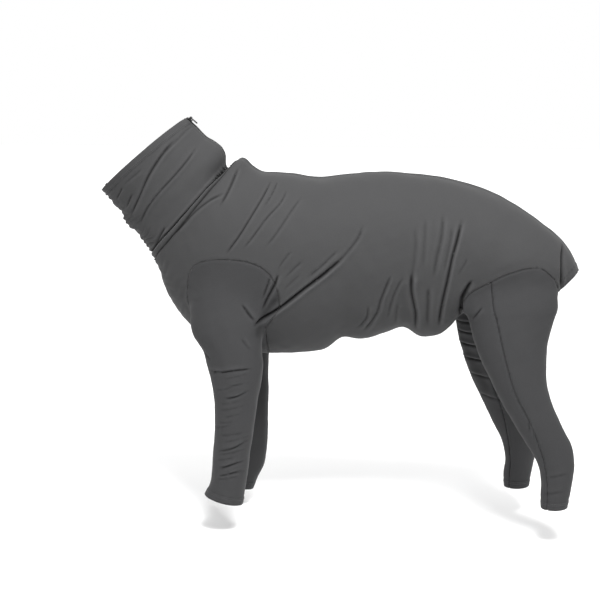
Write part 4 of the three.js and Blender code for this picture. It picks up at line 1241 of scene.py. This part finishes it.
def coil_group():
    """Teeth on the mesh's points, turn by turn left and right of the zip's middle."""
    group, given, out = node_group("coil_teeth", ("Radius", "Reach", "Offset"))
    nodes, links = group.nodes, group.links
    index = nodes.new("GeometryNodeInputIndex")
    turn = nodes.new("ShaderNodeMath")
    turn.operation = "MODULO"
    turn.inputs[1].default_value = 2
    links.new(index.outputs["Index"], turn.inputs[0])
    side = nodes.new("ShaderNodeMath")
    side.operation = "MULTIPLY_ADD"
    side.inputs[1].default_value = 2
    side.inputs[2].default_value = -1
    links.new(turn.outputs[0], side.inputs[0])
    shift = nodes.new("ShaderNodeMath")
    shift.operation = "MULTIPLY"
    links.new(side.outputs[0], shift.inputs[0])
    links.new(given.outputs["Offset"], shift.inputs[1])
    way = nodes.new("ShaderNodeCombineXYZ")
    links.new(shift.outputs[0], way.inputs["Y"])
    moved = nodes.new("GeometryNodeSetPosition")
    links.new(given.outputs["Geometry"], moved.inputs["Geometry"])
    links.new(way.outputs["Vector"], moved.inputs["Offset"])
    tooth = nodes.new("GeometryNodeMeshUVSphere")
    tooth.inputs["Segments"].default_value = 8
    tooth.inputs["Rings"].default_value = 6
    tooth.inputs["Radius"].default_value = 1.0
    scale = nodes.new("ShaderNodeCombineXYZ")
    links.new(given.outputs["Radius"], scale.inputs["X"])
    links.new(given.outputs["Reach"], scale.inputs["Y"])
    links.new(given.outputs["Radius"], scale.inputs["Z"])
    placed = nodes.new("GeometryNodeInstanceOnPoints")
    links.new(moved.outputs["Geometry"], placed.inputs["Points"])
    links.new(tooth.outputs["Mesh"], placed.inputs["Instance"])
    links.new(scale.outputs["Vector"], placed.inputs["Scale"])
    finish_group(group, placed.outputs["Instances"], out, COIL)
    return group


def make_coil(skin):
    """The closed coil: a row of teeth from the slider to the zip's end."""
    spots, outs = zip_path(COIL_PITCH)
    start = int((SLIDER_SETBACK - SLIDER_LENGTH / 2 + 1) / COIL_PITCH) + 1
    points = [under_skin(skin, p, o, 0.0, COIL_SINK) for p, o in zip(spots[start:], outs[start:])]
    obj = object_of("zip_coil", mesh_of("zip_coil", np.array(points) * 0.001, []))
    sizes = {"Radius": COIL_RADIUS * 0.001, "Reach": COIL_REACH * 0.001, "Offset": COIL_OFFSET * 0.001}
    run_group(obj, coil_group(), sizes)
    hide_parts("zip_coil")
    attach(obj, "suit")


def rounded_box(low, high, edge):
    """A box with rounded edges, as points and faces."""
    low, high = np.array(low, float), np.array(high, float)
    cuts = [np.array([a, a + edge, b - edge, b]) for a, b in zip(low, high)]
    names, points, faces = {}, [], []

    def corner(i, j, k):
        spot = np.array([cuts[0][i], cuts[1][j], cuts[2][k]])
        ends = sum(n in (0, 3) for n in (i, j, k))
        if ends > 1:
            inner = np.clip(spot, low + edge, high - edge)
            way = spot - inner
            spot = inner + way / np.linalg.norm(way) * edge
        return names.setdefault((i, j, k), len(names)), spot

    def quad(spots, flip):
        ids = []
        for spot in spots:
            number, place = corner(*spot)
            if number == len(points):
                points.append(place)
            ids.append(number)
        faces.append(tuple(ids[::-1] if flip else ids))

    for u in range(3):
        for v in range(3):
            for end in (0, 3):
                flip = end == 0
                quad([(end, u, v), (end, u + 1, v), (end, u + 1, v + 1), (end, u, v + 1)], flip)
                quad([(v, end, u), (v, end, u + 1), (v + 1, end, u + 1), (v + 1, end, u)], flip)
                quad([(u, v, end), (u + 1, v, end), (u + 1, v + 1, end), (u, v + 1, end)], flip)
    return np.array(points), faces


def rod_along_y(radius, half, x, z, sides=20):
    """A closed rod across the zip."""
    angle = np.linspace(0, 2 * math.pi, sides, endpoint=False)
    ring = np.column_stack([x + radius * np.cos(angle), np.zeros(sides), z + radius * np.sin(angle)])
    points = np.vstack([ring + [0, half, 0], ring - [0, half, 0]])
    faces = [(i, (i + 1) % sides, sides + (i + 1) % sides, sides + i) for i in range(sides)]
    faces.append(tuple(range(sides))[::-1])
    faces.append(tuple(range(sides, 2 * sides)))
    return points, faces


def slab_with_hole(outer, inner, half):
    """A flat ring between two outlines of the same length, in X and Y, closed all round."""
    count = len(outer)
    loops = [(outer, half), (inner, half), (inner, -half), (outer, -half)]
    points = np.vstack([np.column_stack([line, np.full(count, z)]) for line, z in loops])
    faces = []
    for k in range(4):
        for i in range(count):
            j = (i + 1) % count
            a, b = k * count, ((k + 1) % 4) * count
            faces.append((a + i, a + j, b + j, b + i))
    return points, faces


def slider_frame():
    """X down the zip, Y to the right, Z out of the cloth, with the pin on the pull's hinge."""
    rim, following = NECK_ROWS[-1, 0:2], NECK_ROWS[-2, 0:2]
    down = (following - rim) / np.linalg.norm(following - rim)
    out = np.array([-down[1], down[0]])
    return np.array(PULL_HINGE) - out * PIN_HEIGHT, down, out


def placed(points):
    """Points of the slider's frame in the suit's frame."""
    origin, down, out = slider_frame()
    flat = origin + points[:, 0:1] * down + points[:, 2:3] * out
    return np.column_stack([flat[:, 0], points[:, 1], flat[:, 1]])


def make_slider():
    """The slider: two plates, the nose that joins them, two ears and the pull's pin."""
    length, wide = SLIDER_LENGTH / 2, SLIDER_WIDTH / 2
    top = SLIDER_SEAT + PLATE
    parts = [
        rounded_box([-length, -wide, SLIDER_SEAT], [length, wide, top], 0.5),
        rounded_box([-length, -2.5, -5.0], [length, 2.5, -3.5], 0.4),
        rounded_box([-length, -2.4, -4.6], [-length + 1.6, 2.4, top - 0.4], 0.4),
        rounded_box([-length + 0.6, -1.3, top - 0.5], [length - 0.6, 1.3, top + 0.5], 0.45),
    ]
    for side in (-1, 1):
        low, high = sorted((side * (wide - 1), side * wide))
        parts.append(rounded_box([-1.7, low, SLIDER_SEAT + 0.6], [1.7, high, top + EAR_HEIGHT], 0.4))
    parts.append(rod_along_y(PIN_RADIUS, wide - 0.4, 0.0, PIN_HEIGHT))
    obj = joined("zip_slider", [(placed(points), faces) for points, faces in parts], ENAMEL)
    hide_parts("zip_slider")
    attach(obj, "suit")


def rounded_outline(x_low, x_high, half, count):
    """A stadium in X and Y with even steps of angle."""
    angle = np.linspace(0, 2 * math.pi, count, endpoint=False)
    c, s = np.cos(angle), np.sin(angle)
    power = 0.45
    x = np.sign(c) * np.abs(c) ** power
    y = np.sign(s) * np.abs(s) ** power
    return np.column_stack([(x_low + x_high) / 2 + x * (x_high - x_low) / 2, y * half])


def make_pull():
    """The pull: an eye round the pin and a tab with a hole, that lies down the nape."""
    half = PULL_THICK / 2
    eye_hole, eye_out = PIN_RADIUS + 0.3, PIN_RADIUS + 0.3 + half
    eye_half = SLIDER_WIDTH / 2 - 1.3
    angle = np.linspace(0, 2 * math.pi, 24, endpoint=False)
    circle = np.column_stack([np.cos(angle), np.sin(angle)])
    eye, eye_faces = slab_with_hole(circle * eye_out, circle * eye_hole, eye_half)
    eye = eye[:, [0, 2, 1]] * [1, -1, 1]
    tab_start = SLIDER_LENGTH / 2 - 1
    parts = [
        (eye, eye_faces),
        rounded_box([eye_hole + 0.1, -eye_half, -half], [tab_start + 1, eye_half, half], 0.35),
        slab_with_hole(
            rounded_outline(tab_start, PULL_LENGTH, PULL_WIDTH / 2, 40),
            rounded_outline(tab_start + 9, PULL_LENGTH - 2, PULL_WIDTH / 2 - 1.8, 40),
            half,
        ),
    ]
    turn = math.radians(PULL_REST_TILT)
    made = []
    for points, faces in parts:
        x = points[:, 0] * math.cos(turn) + points[:, 2] * math.sin(turn)
        z = points[:, 2] * math.cos(turn) - points[:, 0] * math.sin(turn) + PIN_HEIGHT
        made.append((placed(np.column_stack([x, points[:, 1], z])), faces))
    obj = joined("zip_pull", made, ENAMEL)
    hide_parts("zip_pull")
    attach(obj, "pull")


def stitch_group():
    """Short threads along the mesh's lines, at an even pitch."""
    group, given, out = node_group("stitches", ("Pitch", "Length", "Radius"))
    nodes, links = group.nodes, group.links
    curve = nodes.new("GeometryNodeMeshToCurve")
    links.new(given.outputs["Geometry"], curve.inputs["Mesh"])
    even = nodes.new("GeometryNodeResampleCurve")
    even.mode = "LENGTH"
    links.new(curve.outputs["Curve"], even.inputs["Curve"])
    links.new(given.outputs["Pitch"], even.inputs["Length"])
    tangent = nodes.new("GeometryNodeInputTangent")
    turned = nodes.new("FunctionNodeAlignRotationToVector")
    turned.axis = "Z"
    links.new(tangent.outputs["Tangent"], turned.inputs["Vector"])
    thread = nodes.new("GeometryNodeMeshUVSphere")
    thread.inputs["Segments"].default_value = 6
    thread.inputs["Rings"].default_value = 5
    thread.inputs["Radius"].default_value = 1.0
    half = nodes.new("ShaderNodeMath")
    half.operation = "MULTIPLY"
    half.inputs[1].default_value = 0.5
    links.new(given.outputs["Length"], half.inputs[0])
    scale = nodes.new("ShaderNodeCombineXYZ")
    links.new(given.outputs["Radius"], scale.inputs["X"])
    links.new(given.outputs["Radius"], scale.inputs["Y"])
    links.new(half.outputs[0], scale.inputs["Z"])
    placing = nodes.new("GeometryNodeInstanceOnPoints")
    links.new(even.outputs["Curve"], placing.inputs["Points"])
    links.new(thread.outputs["Mesh"], placing.inputs["Instance"])
    links.new(turned.outputs["Rotation"], placing.inputs["Rotation"])
    links.new(scale.outputs["Vector"], placing.inputs["Scale"])
    finish_group(group, placing.outputs["Instances"], out, THREAD)
    return group


def hem_frames():
    """The neck's rim and each leg's hem: its name, its middle, the way out of it, and the way across in the
    X Z plane.
    """
    ends = [("neck", NECK_ROWS[-1, 0:2], NECK_ROWS[-1, 2:4], 0.0)]
    for right, side in ((0, "left"), (1, "right")):
        sign = 1 if right else -1
        for part, rows in (("sleeve", sleeve_rows(right)), ("hind", hind_rows(right))):
            ends.append((part + "_" + side, rows[-1, 0:2], rows[-1, 2:4], sign * rows[-1, 4]))
    frames = []
    for name, a, b, y in ends:
        run = (b - a) / np.linalg.norm(b - a)
        out = np.array([run[1], -run[0]])
        middle = (a + b) / 2
        frames.append(
            (
                name,
                Vector((middle[0], y, middle[1])),
                Vector((out[0], 0, out[1])),
                Vector((run[0], 0, run[1])),
            )
        )
    return frames


def make_stitches(skin):
    """Two rows of stitches round the neck's rim and each leg's hem."""
    group = stitch_group()
    for name, middle, out, run in hem_frames():
        points, edges = [], []
        for depth in STITCH_ROWS:
            first = len(points)
            for angle in np.linspace(0, 2 * math.pi, 120, endpoint=False):
                way = run * math.cos(angle) + Vector((0, math.sin(angle), 0))
                hit = skin.ray_cast(middle - out * depth, way, 200.0)[0]
                if hit is not None:
                    points.append(list(hit + way * 0.1))
            if len(points) > first:
                edges += [(i, i + 1) for i in range(first, len(points) - 1)]
                edges.append((len(points) - 1, first))
        mesh = bpy.data.meshes.new("stitches_" + name)
        mesh.from_pydata((np.array(points) * 0.001).tolist(), edges, [])
        obj = object_of("stitches_" + name, mesh)
        run_group(obj, group, {"Pitch": STITCH_PITCH, "Length": STITCH_LENGTH, "Radius": STITCH_RADIUS})
        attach(obj, "suit")


def make_room():
    """The pale floor, the soft lights and the pale room."""
    mesh = mesh_of(
        "floor",
        np.array([[-9, -5, FLOOR_Z], [9, -5, FLOOR_Z], [9, 9, FLOOR_Z], [-9, 9, FLOOR_Z]], float),
        [(0, 1, 2, 3)],
    )
    mesh.materials.append(plain("floor", (0.95, 0.95, 0.95), 0.9))
    floor = object_of("floor", mesh)
    for name, place, goal, size, power, spread in (
        ("key", (0.7, -1.75, 2.0), (0.04, 0.0, -0.1), 0.9, 15.5, 60),
        ("rim", (0.2, 1.3, 2.0), (0.04, 0.0, -0.15), 1.0, 3, 180),
        ("back", (0.0, 6.0, 3.0), (0.0, 6.0, 0.0), 4.0, 110, 180),
    ):
        data = bpy.data.lights.new(name, "AREA")
        data.size = size
        data.energy = power
        data.spread = math.radians(spread)
        lamp = object_of(name, data)
        lamp.location = place
        lamp.rotation_euler = (Vector(goal) - Vector(place)).to_track_quat("-Z", "Y").to_euler()
    world = bpy.data.worlds.new("room")
    bpy.context.scene.world = world
    bpy.context.scene.view_settings.view_transform = "Standard"
    world.use_nodes = True
    world.node_tree.nodes["Background"].inputs["Color"].default_value = (1, 1, 1, 1)
    world.node_tree.nodes["Background"].inputs["Strength"].default_value = 1.0


def make_camera():
    a, e = math.radians(CAMERA_AZIMUTH), math.radians(CAMERA_ELEVATION)
    back = Vector((math.sin(a) * math.cos(e), -math.cos(a) * math.cos(e), math.sin(e)))
    data = bpy.data.cameras.new("photo_view")
    data.lens = CAMERA_LENS
    data.sensor_width = 36
    camera = object_of("photo_view", data)
    camera.location = Vector(CAMERA_AIM) + back * CAMERA_DISTANCE
    camera.rotation_euler = (-back).to_track_quat("-Z", "Y").to_euler()
    bpy.context.scene.camera = camera


cloth_skin = make_cloth()
make_tapes(cloth_skin)
make_coil(cloth_skin)
make_slider()
make_pull()
make_stitches(cloth_skin)
make_room()
make_camera()
